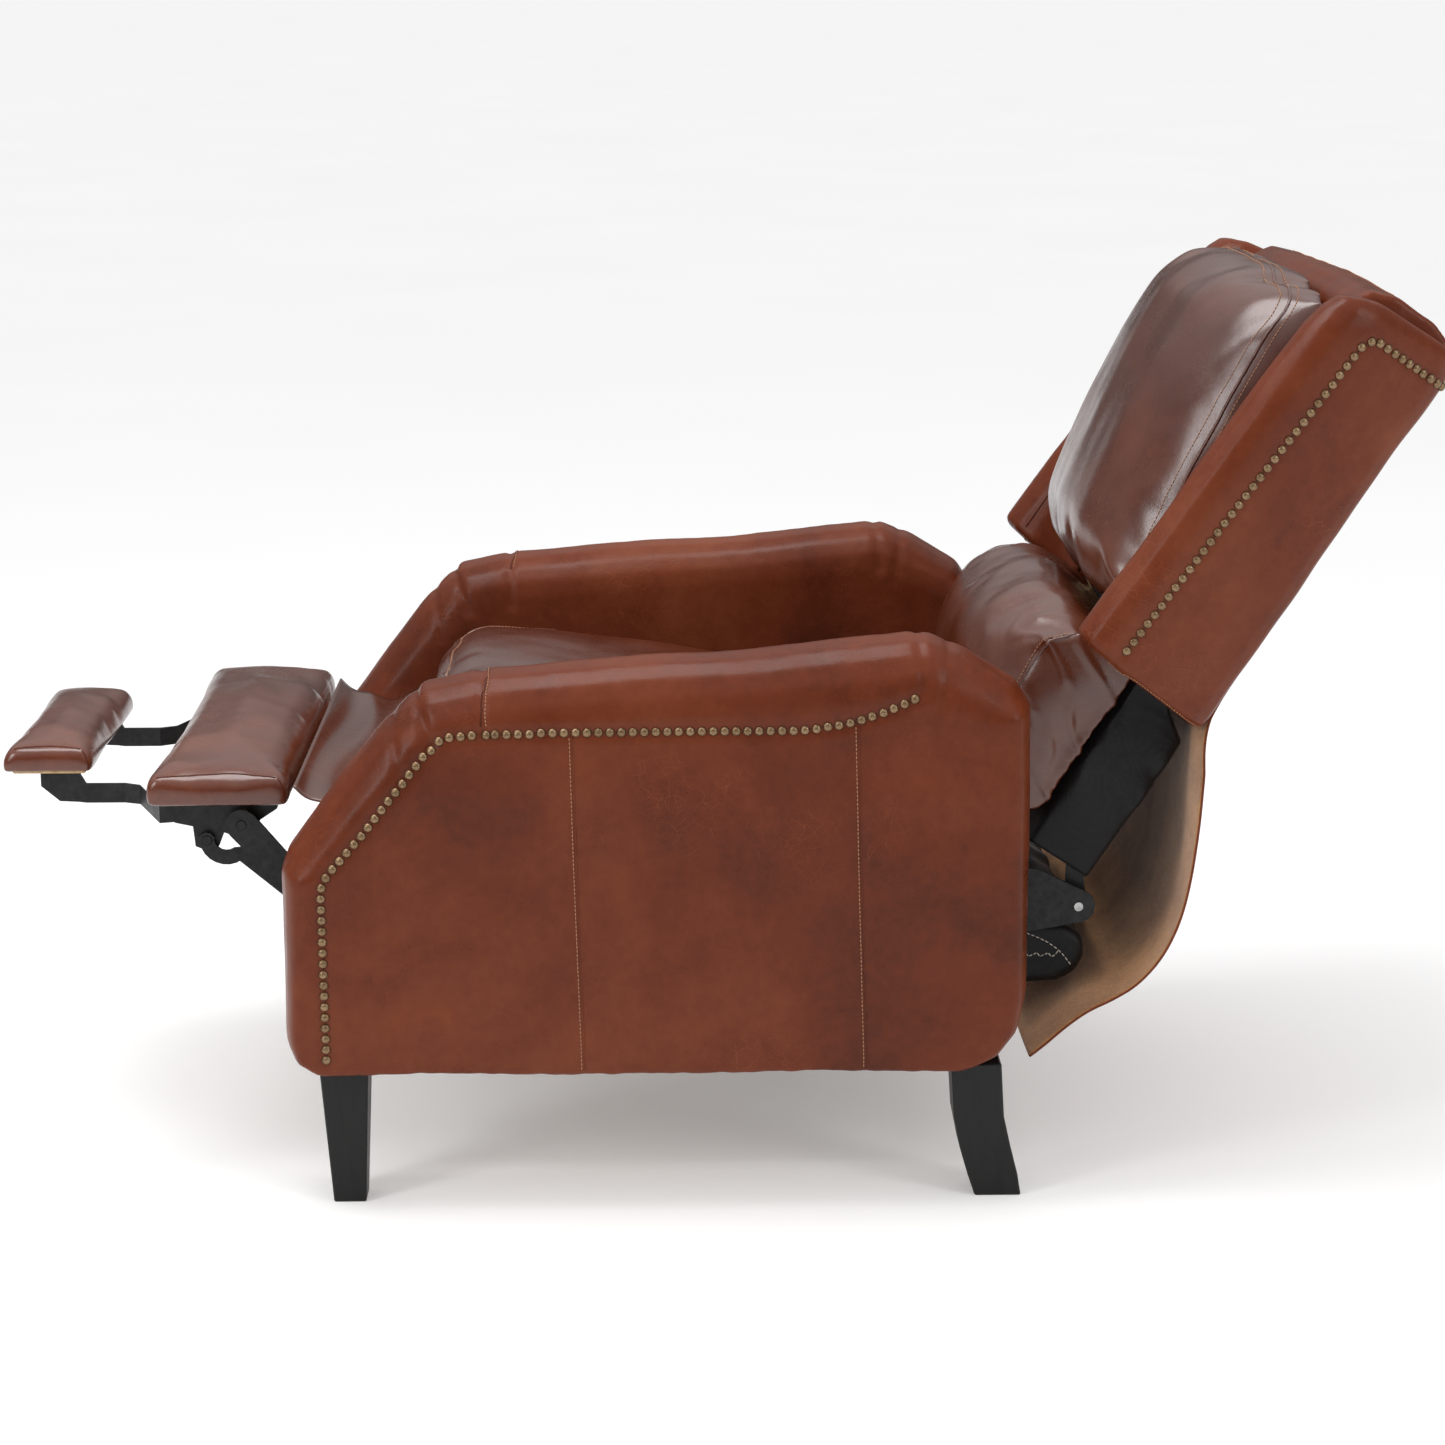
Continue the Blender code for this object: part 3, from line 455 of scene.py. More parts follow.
def add_tube(points, faces, rows):
    """Closed tube through rows of points, with flat ends."""
    first, sides = len(points), len(rows[0])
    for row in rows:
        points.extend(row)
    for r in range(len(rows) - 1):
        for k in range(sides):
            low, high = first + r * sides, first + (r + 1) * sides
            faces.append((low + k, low + (k + 1) % sides, high + (k + 1) % sides, high + k))
    faces.append(tuple(first + k for k in reversed(range(sides))))
    faces.append(tuple(first + (len(rows) - 1) * sides + k for k in range(sides)))


STITCH = 0.0044
THREAD = 0.00060


def stitch_rows(spots):
    """Short padded threads, one for each stitch along a laid line."""
    made = []
    for (a, na), (b, nb) in zip(spots, spots[1:]):
        along = b - a
        ends = [(0.12, 0.45), (0.28, 1.0), (0.72, 1.0), (0.88, 0.45)]
        line = [(a + along * share, na.lerp(nb, share)) for share, _ in ends]
        rows = tube_rows(line, THREAD, 6)
        made.append([[centre + (p - centre) * size for p in row]
                     for (centre, _), row, (_, size) in zip(line, rows, ends)])
    return made


def sewn(name, lines, tree, body, look="brown_thread", pitch=STITCH):
    """All the stitches of some seam lines, as one piece."""
    points, faces = [], []
    for line in lines:
        spots = laid(resample(smoothed([Vector(p) for p in line]), pitch), tree, THREAD * 0.6)
        for rows in stitch_rows(spots):
            add_tube(points, faces, rows)
    return new_object(name, mesh_of(name, points, faces), look, body)


def welted(name, lines, tree, body, radius=0.0016, look="seam_leather"):
    """Raised seam folds along some lines, as one piece."""
    points, faces = [], []
    for line in lines:
        spots = laid(resample(smoothed([Vector(p) for p in line]), 0.005), tree, -radius * 0.25)
        add_tube(points, faces, tube_rows(spots, radius, 8))
    return new_object(name, mesh_of(name, points, faces), look, body)


def mirrored(line):
    return [Vector((-p[0], p[1], p[2])) for p in line]


def nail_spots(points, tree):
    """Nail places a pitch apart along a line, half a pitch in from its start, laid on a surface."""
    return laid(resample(points, NAIL_PITCH / 2)[1::2], tree)


def nailed(name, spots, body, node):
    """A row of brass nailheads in place of a CAD trim strip."""
    nails = domes(name, spots, NAIL_RADIUS, NAIL_HEIGHT, "nail_brass", body)
    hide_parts(node)


def domes(name, spots, radius, height, look, body, sides=12):
    """Domed heads standing on a surface: nailheads and rivets."""
    points, faces = [], []
    rings = ((1.0, -0.15), (1.0, 0.10), (0.90, 0.48), (0.66, 0.80), (0.34, 0.96))
    for place, normal in spots:
        tangent = normal.orthogonal().normalized()
        other = normal.cross(tangent)
        first = len(points)
        turn = RNG.uniform(0, 1)
        for share, rise in rings:
            for k in range(sides):
                angle = 2 * math.pi * k / sides + turn
                points.append(place + (tangent * math.cos(angle) + other * math.sin(angle)) * radius * share
                              + normal * height * rise)
        points.append(place + normal * height)
        points.append(place - normal * height * 0.15)
        for r in range(len(rings) - 1):
            for k in range(sides):
                low, high, ahead = first + r * sides, first + (r + 1) * sides, (k + 1) % sides
                faces.append((low + k, low + ahead, high + ahead, high + k))
        top, bottom, last = len(points) - 2, len(points) - 1, first + (len(rings) - 1) * sides
        for k in range(sides):
            faces.append((last + k, last + (k + 1) % sides, top))
            faces.append((first + (k + 1) % sides, first + k, bottom))
    return new_object(name, mesh_of(name, points, faces), look, body)


# ---------------------------------------------------------------- arms
ARM_NAIL_LINE = [(0.058, 0.163), (0.057, 0.352), (0.064, 0.368), (0.099, 0.408), (0.141, 0.462),
                 (0.170, 0.500), (0.186, 0.511), (0.223, 0.515), (0.546, 0.517), (0.596, 0.524),
                 (0.637, 0.537), (0.667, 0.552)]
PANEL_SEAMS = ([(0.316, 0.512), (0.318, 0.400), (0.322, 0.260), (0.325, 0.156)],
               [(0.606, 0.522), (0.609, 0.400), (0.614, 0.260), (0.618, 0.156)])
PLEATS = (([(0.222, 0.580), (0.224, 0.512)], 0.0045, 0.0030),       # line, width, depth
          ([(0.150, 0.560), (0.172, 0.505)], 0.0060, 0.0034),
          ([(0.128, 0.540), (0.140, 0.470)], 0.0050, 0.0016),
          ([(0.668, 0.612), (0.672, 0.556)], 0.0060, 0.0030),
          ([(0.700, 0.600), (0.690, 0.540)], 0.0050, 0.0016))


def shape_arm(obj):
    mesh = obj.data
    co, out = coords(mesh), normals(mesh)
    flat = np.column_stack((co[:, 1] + DATUM_Y, co[:, 2]))
    outwards = np.clip((np.abs(co[:, 0]) - 0.290) / 0.06, 0, 1)
    rise = 0.0008 * ripples(co, 7, 0.24, 3) + 0.00022 * ripples(co, 9, 0.07, 4)
    rise += outwards * groove(line_distance(flat, ARM_NAIL_LINE), *NAIL_GROOVE)
    for seam in PANEL_SEAMS:
        rise += outwards * groove(line_distance(flat, seam), 0.0045, 0.0011)
    for line, width, depth in PLEATS:
        rise += groove(line_distance(flat, line), width, depth)
    crest = np.clip((out[:, 2] - 0.2) / 0.6, 0, 1)
    stretch = co * np.array([1.0, 2.6, 1.0])
    rise += crest * 0.00018 * ripples(stretch, 10, 0.060, 11)
    panel = outwards * np.clip((0.50 - flat[:, 1]) / 0.05, 0, 1) * np.clip((flat[:, 1] - 0.15) / 0.05, 0, 1)
    rise += 0.0016 * panel
    hem = np.clip(1 - np.abs(flat[:, 1] - 0.152) / 0.02, 0, 1)
    rise += hem * 0.0005 * ripples(stretch, 6, 0.045, 21)
    set_coords(mesh, co + out * rise[:, None])


def make_arms():
    for word, side in SIDES:
        cover = skin("arm_upholstery_" + word, "arm_cover_" + word, "outer_leather", SHELL_VOXEL, 6)
        shape_arm(cover)
        tree = settle(cover, "base", "arm_cover_" + word)
        x = side * (ARM_OUTER_X + 0.001)
        spots = nail_spots([at(x, y, z) for y, z in ARM_NAIL_LINE], tree)
        nailed("arm_nailheads_" + word, spots, "base", "arm_nail_trim_" + word)
        seams = [[at(x, y, z) for y, z in seam] for seam in PANEL_SEAMS]
        beside = [[p + Vector((0, -0.0032, 0)) for p in seam] for seam in seams]
        welted("arm_panel_seams_" + word, seams, tree, "base", 0.0009, "outer_leather")
        sewn("arm_panel_stitches_" + word, beside, tree, "base")
        pleat = [at(side * 0.290, 0.2225, 0.560), at(side * 0.330, 0.2225, 0.600),
                 at(side * 0.372, 0.2230, 0.560), at(x, 0.2235, 0.522)]
        welted("arm_pleat_seam_" + word, [pleat], tree, "base", 0.0010)
        beside = [p + Vector((0, 0.0034, 0)) for p in pleat]
        sewn("arm_pleat_stitches_" + word, [beside], tree, "base")


# ---------------------------------------------------------------- cushions, swollen by cloth simulation
PUFF_FRAMES = 20


def swollen(obj, cap, limit, pressure=4.0, voxel=0.006, rounds=5, relax=8):
    """Blow a closed form up as cloth. No point moves past cap, and limit() says how much of it each keeps."""
    rewrapped(obj, voxel, rounds)
    start = coords(obj.data).copy()
    scene = bpy.context.scene
    puff = obj.modifiers.new("puff", "CLOTH")
    puff.settings.quality = 4
    puff.settings.use_pressure = True
    puff.settings.uniform_pressure_force = pressure
    puff.settings.effector_weights.gravity = 0.0
    puff.point_cache.frame_start = 1
    puff.point_cache.frame_end = PUFF_FRAMES
    for step in range(1, PUFF_FRAMES + 1):
        scene.frame_set(step)
    baked(obj)
    moved = coords(obj.data) - start
    reach = np.linalg.norm(moved, axis=1)
    moved *= np.minimum(1.0, cap / np.maximum(reach, 1e-9))[:, None]
    set_coords(obj.data, start)
    keep = limit(start, normals(obj.data))
    set_coords(obj.data, start + moved * keep[:, None])
    scene.frame_set(1)
    calm = obj.modifiers.new("calm", "SMOOTH")
    calm.iterations = relax
    baked(obj)
    finer = obj.modifiers.new("finer", "SUBSURF")
    finer.levels = 1
    finer.render_levels = 1
    baked(obj)
    return obj


def from_node(name, node, look, shrink=0.003):
    mesh = frame["nodes"][node].data.copy()
    mesh.materials.clear()
    obj = new_object(name, mesh, look)
    push = obj.modifiers.new("inset", "DISPLACE")
    push.strength = -shrink
    push.mid_level = 0.0
    return baked(obj)


def clamp_x(obj, half):
    co = coords(obj.data)
    co[:, 0] = np.clip(co[:, 0], -half, half)
    set_coords(obj.data, co)


def make_seat_cushion():
    seat = from_node("seat_cushion_leather", "seat_cushion", "cushion_leather")
    swollen(seat, 0.016, lambda co, out: np.clip((out[:, 2] + 0.35) / 0.6, 0, 1), relax=24)
    wrinkle(seat, lambda co, out: np.clip(out[:, 2], 0, 1) * (0.0008 * ripples(co, 8, 0.18, 31)
                                                              + 0.0002 * ripples(co, 9, 0.06, 32)))
    clamp_x(seat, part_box("seat_cushion")[1][0])
    tree = settle(seat, "seat", "seat_cushion")
    rim = [at(0.258, 0.640, 0.470), at(0.252, 0.400, 0.500), at(0.250, 0.220, 0.520),
           at(0.244, 0.150, 0.505), at(0.200, 0.138, 0.500), at(0.0, 0.134, 0.505)]
    whole = rim + mirrored(reversed(rim[:-1]))
    welted("seat_cushion_welt", [whole], tree, "seat", 0.0022, "cushion_leather")
    beside = [Vector((p.x * 0.965, p.y + 0.008, p.z + 0.01)) for p in whole]
    sewn("seat_cushion_stitches", [beside], tree, "seat")


def towards_sitter(out, start):
    """1 where a back piece's normal faces the sitter, falling to 0 round its sides."""
    forwards = -(out[:, 1] * LEAN_COS - out[:, 2] * LEAN_SIN)
    return np.clip((forwards + start) / 0.7, 0, 1)


def make_back_cushion():
    back = from_node("back_cushion_leather", "back_cushion", "cushion_leather")
    swollen(back, 0.018, lambda co, out: towards_sitter(out, 0.25), relax=24)
    wrinkle(back, lambda co, out: 0.0009 * ripples(co, 8, 0.20, 41) + 0.0002 * ripples(co, 9, 0.06, 42))
    clamp_x(back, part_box("back_cushion")[1][0])
    tree = settle(back, "back", "back_cushion")
    side_line = [on_back(0.262, -0.150, 0.300), on_back(0.262, -0.168, 0.400),
                 on_back(0.262, -0.180, 0.500), on_back(0.262, -0.188, 0.590),
                 on_back(0.257, -0.190, 0.640), on_back(0.235, -0.192, 0.672),
                 on_back(0.150, -0.196, 0.692), on_back(0.0, -0.200, 0.700)]
    whole = side_line + mirrored(reversed(side_line[:-1]))
    welted("back_cushion_welt", [whole], tree, "back", 0.0020, "cushion_leather")
    seam = [(p.x, *to_back(np.array([p]))[0][1:]) for p in whole]
    inside = [on_back(x * 0.985, y - 0.012, z - 0.004) for x, y, z in seam]
    outside = [on_back(x, y + 0.011, z + 0.002) for x, y, z in seam]
    sewn("back_cushion_stitches", [inside, outside], tree, "back")


def make_lumbar_cushion():
    lumbar = from_node("lumbar_cushion_leather", "lumbar_cushion", "cushion_leather")
    swollen(lumbar, 0.014, lambda co, out: towards_sitter(out, 0.3))

    def gathers(co, out):
        local = to_back(co)
        side = np.clip((np.abs(co[:, 0]) - 0.15) / 0.10, 0, 1)
        fan = np.sin((local[:, 2] * 95.0) + local[:, 1] * 60.0 + 2.0 * ripples(co, 5, 0.09, 52))
        return 0.0011 * ripples(co, 8, 0.09, 51) + 0.0022 * side * fan * np.clip(fan, 0, 1)

    wrinkle(lumbar, gathers)
    clamp_x(lumbar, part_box("lumbar_cushion")[1][0] + 0.002)
    tree = settle(lumbar, "back", "lumbar_cushion")
    gusset = [on_back(0.252, -0.176, 0.252), on_back(0.252, -0.196, 0.205), on_back(0.252, -0.194, 0.150),
              on_back(0.250, -0.172, 0.098), on_back(0.246, -0.145, 0.066)]
    lines = [gusset, mirrored(gusset)]
    welted("lumbar_welt", lines, tree, "back", 0.0018, "cushion_leather")
    beside = [[p + Vector((0, -0.004, 0.009)) for p in line] for line in lines]
    sewn("lumbar_stitches", beside, tree, "back")


def pocketed_block(name, node, board, look, skirt):
    """The pad's own CAD crown, with leather sides that wrap down round its board."""
    low, high = (Vector(c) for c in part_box(node))
    obj = from_node(name, node, look, 0.001)
    blow, bhigh = (Vector(c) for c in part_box(board))
    ease = 0.0012
    data = bmesh.new()
    data.from_mesh(obj.data)
    walls = [((low.x, blow.x - ease), (low.y, high.y)), ((bhigh.x + ease, high.x), (low.y, high.y)),
             ((low.x, high.x), (low.y, blow.y - ease)), ((low.x, high.x), (bhigh.y + ease, high.y))]
    inset = 0.001
    for (x0, x1), (y0, y1) in walls:
        x0, x1 = max(x0, low.x + inset), min(x1, high.x - inset)
        y0, y1 = max(y0, low.y + inset), min(y1, high.y - inset)
        centre = Vector(((x0 + x1) / 2, (y0 + y1) / 2, (skirt + low.z + 0.006) / 2))
        size = Matrix.Diagonal((x1 - x0, y1 - y0, low.z + 0.006 - skirt, 1.0))
        bmesh.ops.create_cube(data, size=1.0, matrix=Matrix.Translation(centre) @ size)
    data.to_mesh(obj.data)
    data.free()
    return obj


def make_pad(name, node, board, body, cap, seed):
    board_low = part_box(board)[0][2]
    pad = pocketed_block(name, node, board, "pad_leather", board_low + 0.0002)
    box_low, box_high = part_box(node)

    def crown(co, out):
        return np.clip((out[:, 2] + 0.45) / 0.7, 0, 1) * np.clip((co[:, 2] - board_low - 0.004) / 0.012, 0, 1)

    swollen(pad, cap, crown, voxel=0.0035, rounds=4, relax=20)
    wrinkle(pad, lambda co, out: (0.0006 * ripples(co, 8, 0.12, seed)
                                  + 0.0001 * ripples(co, 9, 0.04, seed + 1)))
    tree = settle(pad, body, node)
    edge = box_low[2] + 0.010
    for word, side in SIDES:
        x = side * box_high[0]
        corner = [Vector((x, box_high[1] - 0.004, board_low + 0.002)),
                  Vector((x, box_high[1] - 0.004, edge + 0.006)),
                  Vector((x * 0.985, box_high[1] - 0.008, edge + 0.016))]
        welted(f"{node}_corner_seam_{word}", [corner], tree, body, 0.0011)
    x, middle = box_high[0] - 0.004, (box_low[1] + box_high[1]) / 2
    end = [Vector((x, box_low[1] + 0.012, edge + 0.016)), Vector((x, middle, edge + 0.03)),
           Vector((x, box_high[1] - 0.012, edge + 0.016))]
    welted(f"{node}_end_seams", [end, mirrored(end)], tree, body, 0.0010)


# ---------------------------------------------------------------- back shell: wings and outside back
WING_SECTION = [(0.300, -0.0130), (0.312, -0.0280), (0.328, -0.0600), (0.344, -0.0980), (0.356, -0.1320),
                (0.362, -0.1580)]
WING_NAIL_RISE = [(-0.1400, 0.262), (-0.1290, 0.480), (-0.1200, 0.648)]
TOP_NAIL_Z = 0.662


def wing_x(y):
    for (x0, y0), (x1, y1) in zip(WING_SECTION, WING_SECTION[1:]):
        if y1 <= y <= y0:
            return x0 + (x1 - x0) * (y - y0) / (y1 - y0)
    return WING_SECTION[0][0]


def shape_wing(obj, seed):
    mesh = obj.data
    co, out = coords(mesh), normals(mesh)
    local = to_back(co)
    outwards = np.clip((out[:, 0] * np.sign(co[:, 0]) - 0.1) / 0.5, 0, 1)
    rise = 0.0010 * ripples(co, 7, 0.18, seed) + 0.0004 * ripples(co, 9, 0.05, seed + 1)
    nails = WING_NAIL_RISE + [(-0.112, TOP_NAIL_Z), (-0.036, TOP_NAIL_Z)]
    rise += outwards * groove(line_distance(local[:, 1:], nails), *NAIL_GROOVE)
    hem = np.clip(1 - np.abs(local[:, 2] - 0.243) / 0.02, 0, 1)
    rise += hem * 0.0008 * ripples(co, 6, 0.04, seed + 2)
    set_coords(mesh, co + out * rise[:, None])


def make_back_shell():
    for word, side in SIDES:
        wing = skin("wing_upholstery_" + word, "wing_" + word, "outer_leather", 0.0035, 6)
        shape_wing(wing, 61 if side > 0 else 71)
        tree = settle(wing, "back", "wing_" + word)
        line = WING_NAIL_RISE + [(y, TOP_NAIL_Z) for y in (-0.112, -0.090, -0.060, -0.036, -0.012)]
        spots = nail_spots([on_back(side * wing_x(y), y, z) for y, z in line], tree)
        nailed("wing_nailheads_" + word, spots, "back", "wing_nail_trim_" + word)
        hem = [on_back(side * wing_x(y), y, 0.2500 - 0.105 * (y + 0.189))
               for y in (-0.014, -0.05, -0.09, -0.13, -0.165)]
        sewn("wing_hem_stitches_" + word, [hem], tree, "back")
        face = [on_back(side * 0.300, y, z)
                for y, z in ((-0.170, 0.262), (-0.166, 0.45), (-0.160, 0.60), (-0.135, 0.66))]
        welted("wing_inner_seam_" + word, [face], tree, "back", 0.0011)
    shell = skin("outside_back_upholstery", "outside_back", "outer_leather", SHELL_VOXEL, 6)
    mesh = shell.data
    co, out = coords(mesh), normals(mesh)
    local = to_back(co)
    rise = 0.0011 * ripples(co, 7, 0.24, 81) + 0.0004 * ripples(co, 9, 0.05, 82)
    rise += groove(np.abs(local[:, 2] - TOP_NAIL_Z), 0.0065, 0.0018) * (local[:, 1] > -0.02)
    rise += 0.004 * np.clip((local[:, 2] - 0.69) / 0.02, 0, 1) * np.clip(1 - (co[:, 0] / 0.26) ** 2, 0, 1)
    set_coords(mesh, co + out * rise[:, None])
    tree = settle(shell, "back", "outside_back")
    spots = nail_spots([on_back(x, -0.004, TOP_NAIL_Z) for x in (-0.264, 0.264)], tree)
    nailed("back_nailheads", spots, "back", "back_nail_trim")
    top = [on_back(x, -0.100, 0.72) for x in (-0.26, -0.1, 0.1, 0.26)]
    sewn("back_top_stitches", [top], tree, "back")


# ---------------------------------------------------------------- sheets: rear flap, footrest web and linings
def sheet_mesh(name, path, halves, thickness, wave, columns, looks):
    """Closed thin sheet with its own face and reverse. wave(across, along) lifts a point off the path."""
    path = [Vector(p) for p in path]
    rows = len(path)
    points = []
    for under in (False, True):
        for r, spot in enumerate(path):
            along = (path[min(r + 1, rows - 1)] - path[max(r - 1, 0)]).normalized()
            normal = Vector((0.0, along.z, -along.y))
            for c in range(columns + 1):
                across = -1.0 + 2.0 * c / columns
                lift = wave(across, r / (rows - 1)) - (thickness if under else 0.0)
                points.append(Vector((halves[r] * across, spot.y, spot.z)) + normal * lift)
    wide, top = columns + 1, rows * (columns + 1)
    faces, kinds = [], []
    for r in range(rows - 1):
        for c in range(columns):
            a = r * wide + c
            faces.append((a, a + 1, a + 1 + wide, a + wide))
            faces.append((top + a, top + a + wide, top + a + 1 + wide, top + a + 1))
            kinds += [0, 1]
    last = (rows - 1) * wide
    edges = [(c, c + 1) for c in range(columns)]
    edges += [(r * wide + columns, (r + 1) * wide + columns) for r in range(rows - 1)]
    edges += [(last + c + 1, last + c) for c in reversed(range(columns))]
    edges += [((r + 1) * wide, r * wide) for r in reversed(range(rows - 1))]
    for a, b in edges:
        faces.append((a, top + a, top + b, b))
        kinds.append(0)
    mesh = mesh_of(name, points, faces)
    for look in looks:
        mesh.materials.append(LOOK[look])
    for face, kind in zip(mesh.polygons, kinds):
        face.material_index = kind
    return faced_outwards(mesh)


FLAP_PATH = [(0.7935, 0.1450), (0.8080, 0.1570), (0.8300, 0.1770), (0.8550, 0.1945), (0.8820, 0.2050),
             (0.9110, 0.2210), (0.9375, 0.2510), (0.9540, 0.2880), (0.9620, 0.3300), (0.9660, 0.3900),
             (0.9680, 0.4400), (0.9720, 0.4880), (0.9920, 0.5230), (1.0070, 0.5440)]
WEB_PATH = [(0.0165, 0.4270), (0.0300, 0.4150), (0.0520, 0.4050), (0.0800, 0.4010), (0.1020, 0.4060),
            (0.1180, 0.4160)]


def make_flap():
    route = resample(smoothed([at(0, y, z) for y, z in FLAP_PATH], 3), 0.006)
    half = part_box("rear_flap")[1][0]
    shoulder = at(0, 0, 0.450).z
    halves = [half - 0.004 * i / len(route) - 0.030 * min(1.0, max(0.0, (p.z - shoulder) / 0.055))
              for i, p in enumerate(route)]

    def drift(across, along):
        curl = 0.004 * abs(across) ** 8 * math.sin(9.0 * along + across)
        return curl + 0.0016 * math.sin(5.0 * across + 7.0 * along) * math.sin(math.pi * along)

    mesh = sheet_mesh("rear_flap_leather", route, halves, 0.0026, drift, 90, ("outer_leather", "suede"))
    flap = new_object("rear_flap_leather", mesh, "outer_leather", "base")
    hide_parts("rear_flap")
    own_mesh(flap)


def make_web():
    route = resample(smoothed([at(0, y, z) for y, z in WEB_PATH], 3), 0.004)
    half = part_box("footrest_web")[1][0]

    def folds(across, along):
        return 0.0028 * math.sin(4 * math.pi * along + 1.5 * math.sin(3 * across)) * math.sin(math.pi * along)

    looks = ("cushion_leather", "cushion_leather")
    mesh = sheet_mesh("footrest_web_leather", route, [half] * len(route), 0.0020, folds, 60, looks)
    web = new_object("footrest_web_leather", mesh, "cushion_leather", "seat")
    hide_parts("footrest_web")
    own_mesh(web)


def make_back_lining():
    """Soft cloth bag round the lower back frame: full at its sides, tucked in under the wings."""
    rows, sides, cloth_depth = 64, 168, 0.0015
    low, high, tuck = 0.030, 0.262, 0.206
    half, front, rear, rear_tucked = 0.2462, -0.0872, -0.0035, -0.0362
    points, faces = [], []
    for inset in (0.0, cloth_depth):
        for r in range(rows + 1):
            z = low + (high - low) * r / rows
            share = min(1.0, max(0.0, (z - tuck) / 0.022))
            back_y = rear + (rear_tucked - rear) * share
            middle, reach = (front + back_y) / 2, (back_y - front) / 2
            for k in range(sides):
                angle = 2 * math.pi * k / sides
                c, d = math.cos(angle), math.sin(angle)
                x = (half - inset) * math.copysign(abs(c) ** 0.12, c)
                y = middle + (reach - inset) * math.copysign(abs(d) ** 0.12, d)
                full = math.sin(math.pi * min(1.0, max(0.0, (z - 0.055) / 0.17))) * (1 - abs(d) ** 4)
                fan = math.sin(70 * z + 95 * (y + 0.09) * (0.4 + 3.0 * (z - low)) + 1.3 * math.sin(40 * z))
                sway = full * (0.0052 + 0.0030 * fan + 0.0007 * math.sin(150 * y + 60 * z))
                x += math.copysign(max(0.0, sway), c) * (abs(c) > 0.3)
                points.append(on_back(x, y, z))
    layer = (rows + 1) * sides
    for r in range(rows):
        for k in range(sides):
            a, b = r * sides + k, r * sides + (k + 1) % sides
            faces.append((a, b, b + sides, a + sides))
            faces.append((layer + a, layer + a + sides, layer + b + sides, layer + b))
    for r in (0, rows):
        for k in range(sides):
            a, b = r * sides + k, r * sides + (k + 1) % sides
            faces.append((a, layer + a, layer + b, b))
    mesh = faced_outwards(mesh_of("lower_back_lining", points, faces))
    bag = new_object("lower_back_lining", mesh, "black_cambric", "back")
    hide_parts("lower_back_cover")


def make_linings():
    make_back_lining()
    pouch = skin("seat_dust_lining", "seat_dust_cover", "black_cambric", 0.004, 6)
    wrinkle(pouch, lambda co, out: 0.0014 * ripples(co, 8, 0.05, 95))
    tree = settle(pouch, "seat", "seat_dust_cover")
    for word, side in SIDES:
        x = side * 0.247
        loop = [at(x, 0.786, 0.262), at(x, 0.812, 0.252), at(x, 0.834, 0.238), at(x, 0.846, 0.222)]
        zigzag = [at(x, 0.790 + 0.006 * i, 0.232 + (0.006 if i % 2 else -0.004)) for i in range(8)]
        sewn("dust_lining_stitches_" + word, [loop, zigzag], tree, "seat", "white_thread",
             0.0056)


# ---------------------------------------------------------------- mechanism details
RIVET_RADIUS, RIVET_HEIGHT, RIVET_SIDES = 0.0075, 0.0026, 18
RIVET_GROUPS = (("bracket", "footrest", 0.2236, -1, ("footrest_hinge", "hook_link_hinge")),
                ("base", "base", 0.2706, 1, ("front_swing_hinge", "rear_swing_hinge")))


def make_rivets():
    """Black rivet heads on the footrest brackets' inner faces and the base plates' outer faces."""
    for word, side in SIDES:
        for plate, body, x, facing, hinges in RIVET_GROUPS:
            centres = [HINGES[hinge] for hinge in hinges]
            spots = [(Vector((side * x, p[1], p[2])), Vector((side * facing, 0, 0))) for p in centres]
            domes(f"{plate}_rivets_{word}", spots, RIVET_RADIUS, RIVET_HEIGHT, "black_steel", body,
                  RIVET_SIDES)


def ring(name, centre, x0, x1, inner, outer, look, body, sides=24):
    points, faces = [], []
    for x, r in ((x0, inner), (x0, outer), (x1, outer), (x1, inner)):
        for k in range(sides):
            angle = 2 * math.pi * k / sides
            points.append(Vector((x, centre[1] + r * math.cos(angle), centre[2] + r * math.sin(angle))))
    for row in range(4):
        for k in range(sides):
            a, b = row * sides, ((row + 1) % 4) * sides
            faces.append((a + k, a + (k + 1) % sides, b + (k + 1) % sides, b + k))
    mesh = faced_outwards(mesh_of(name, points, faces))
    mesh.set_sharp_from_angle(angle=math.radians(40))
    return new_object(name, mesh, look, body)


WASHER_BORE, WASHER_RADIUS = 0.0057, 0.0095
WASHERS = (("flipper", "flipper_hinge", 0.2224, 0.2236, "footrest"),
           ("knee", "front_link_hinge", 0.2464, 0.2476, "rear_links"),
           ("back", "back_recline_hinge", 0.2444, 0.2464, "back"))


def make_washers():
    for word, side in SIDES:
        for kind, hinge, x0, x1, body in WASHERS:
            ring(f"{kind}_washer_{word}", HINGES[hinge], side * x0, side * x1, WASHER_BORE, WASHER_RADIUS,
                 "green_nylon", body)


LEATHER_COVERED = {"seat_front_rail": "cushion_leather"}
EDGE_EASE = {"black_steel": 0.0007, "leg_wood": 0.0016, "frame_wood": 0.0012}


def paint_cad_nodes():
    """Carried-over CAD nodes keep their shape and take a detailed finish, with their edges eased."""
    slots = {row["node"]: row["material_slot"] for row in frame["record"]["subparts"]}
    for name, obj in frame["nodes"].items():
        if obj.hide_render:
            continue
        slot = slots[name]
        obj.data.materials.clear()
        obj.data.materials.append(LOOK[LEATHER_COVERED.get(name, slot)])
        if slot in EDGE_EASE:
            ease = obj.modifiers.new("eased_edges", "BEVEL")
            ease.width = EDGE_EASE[slot]
            ease.segments = 2
            ease.limit_method = "ANGLE"
            ease.angle_limit = math.radians(50)


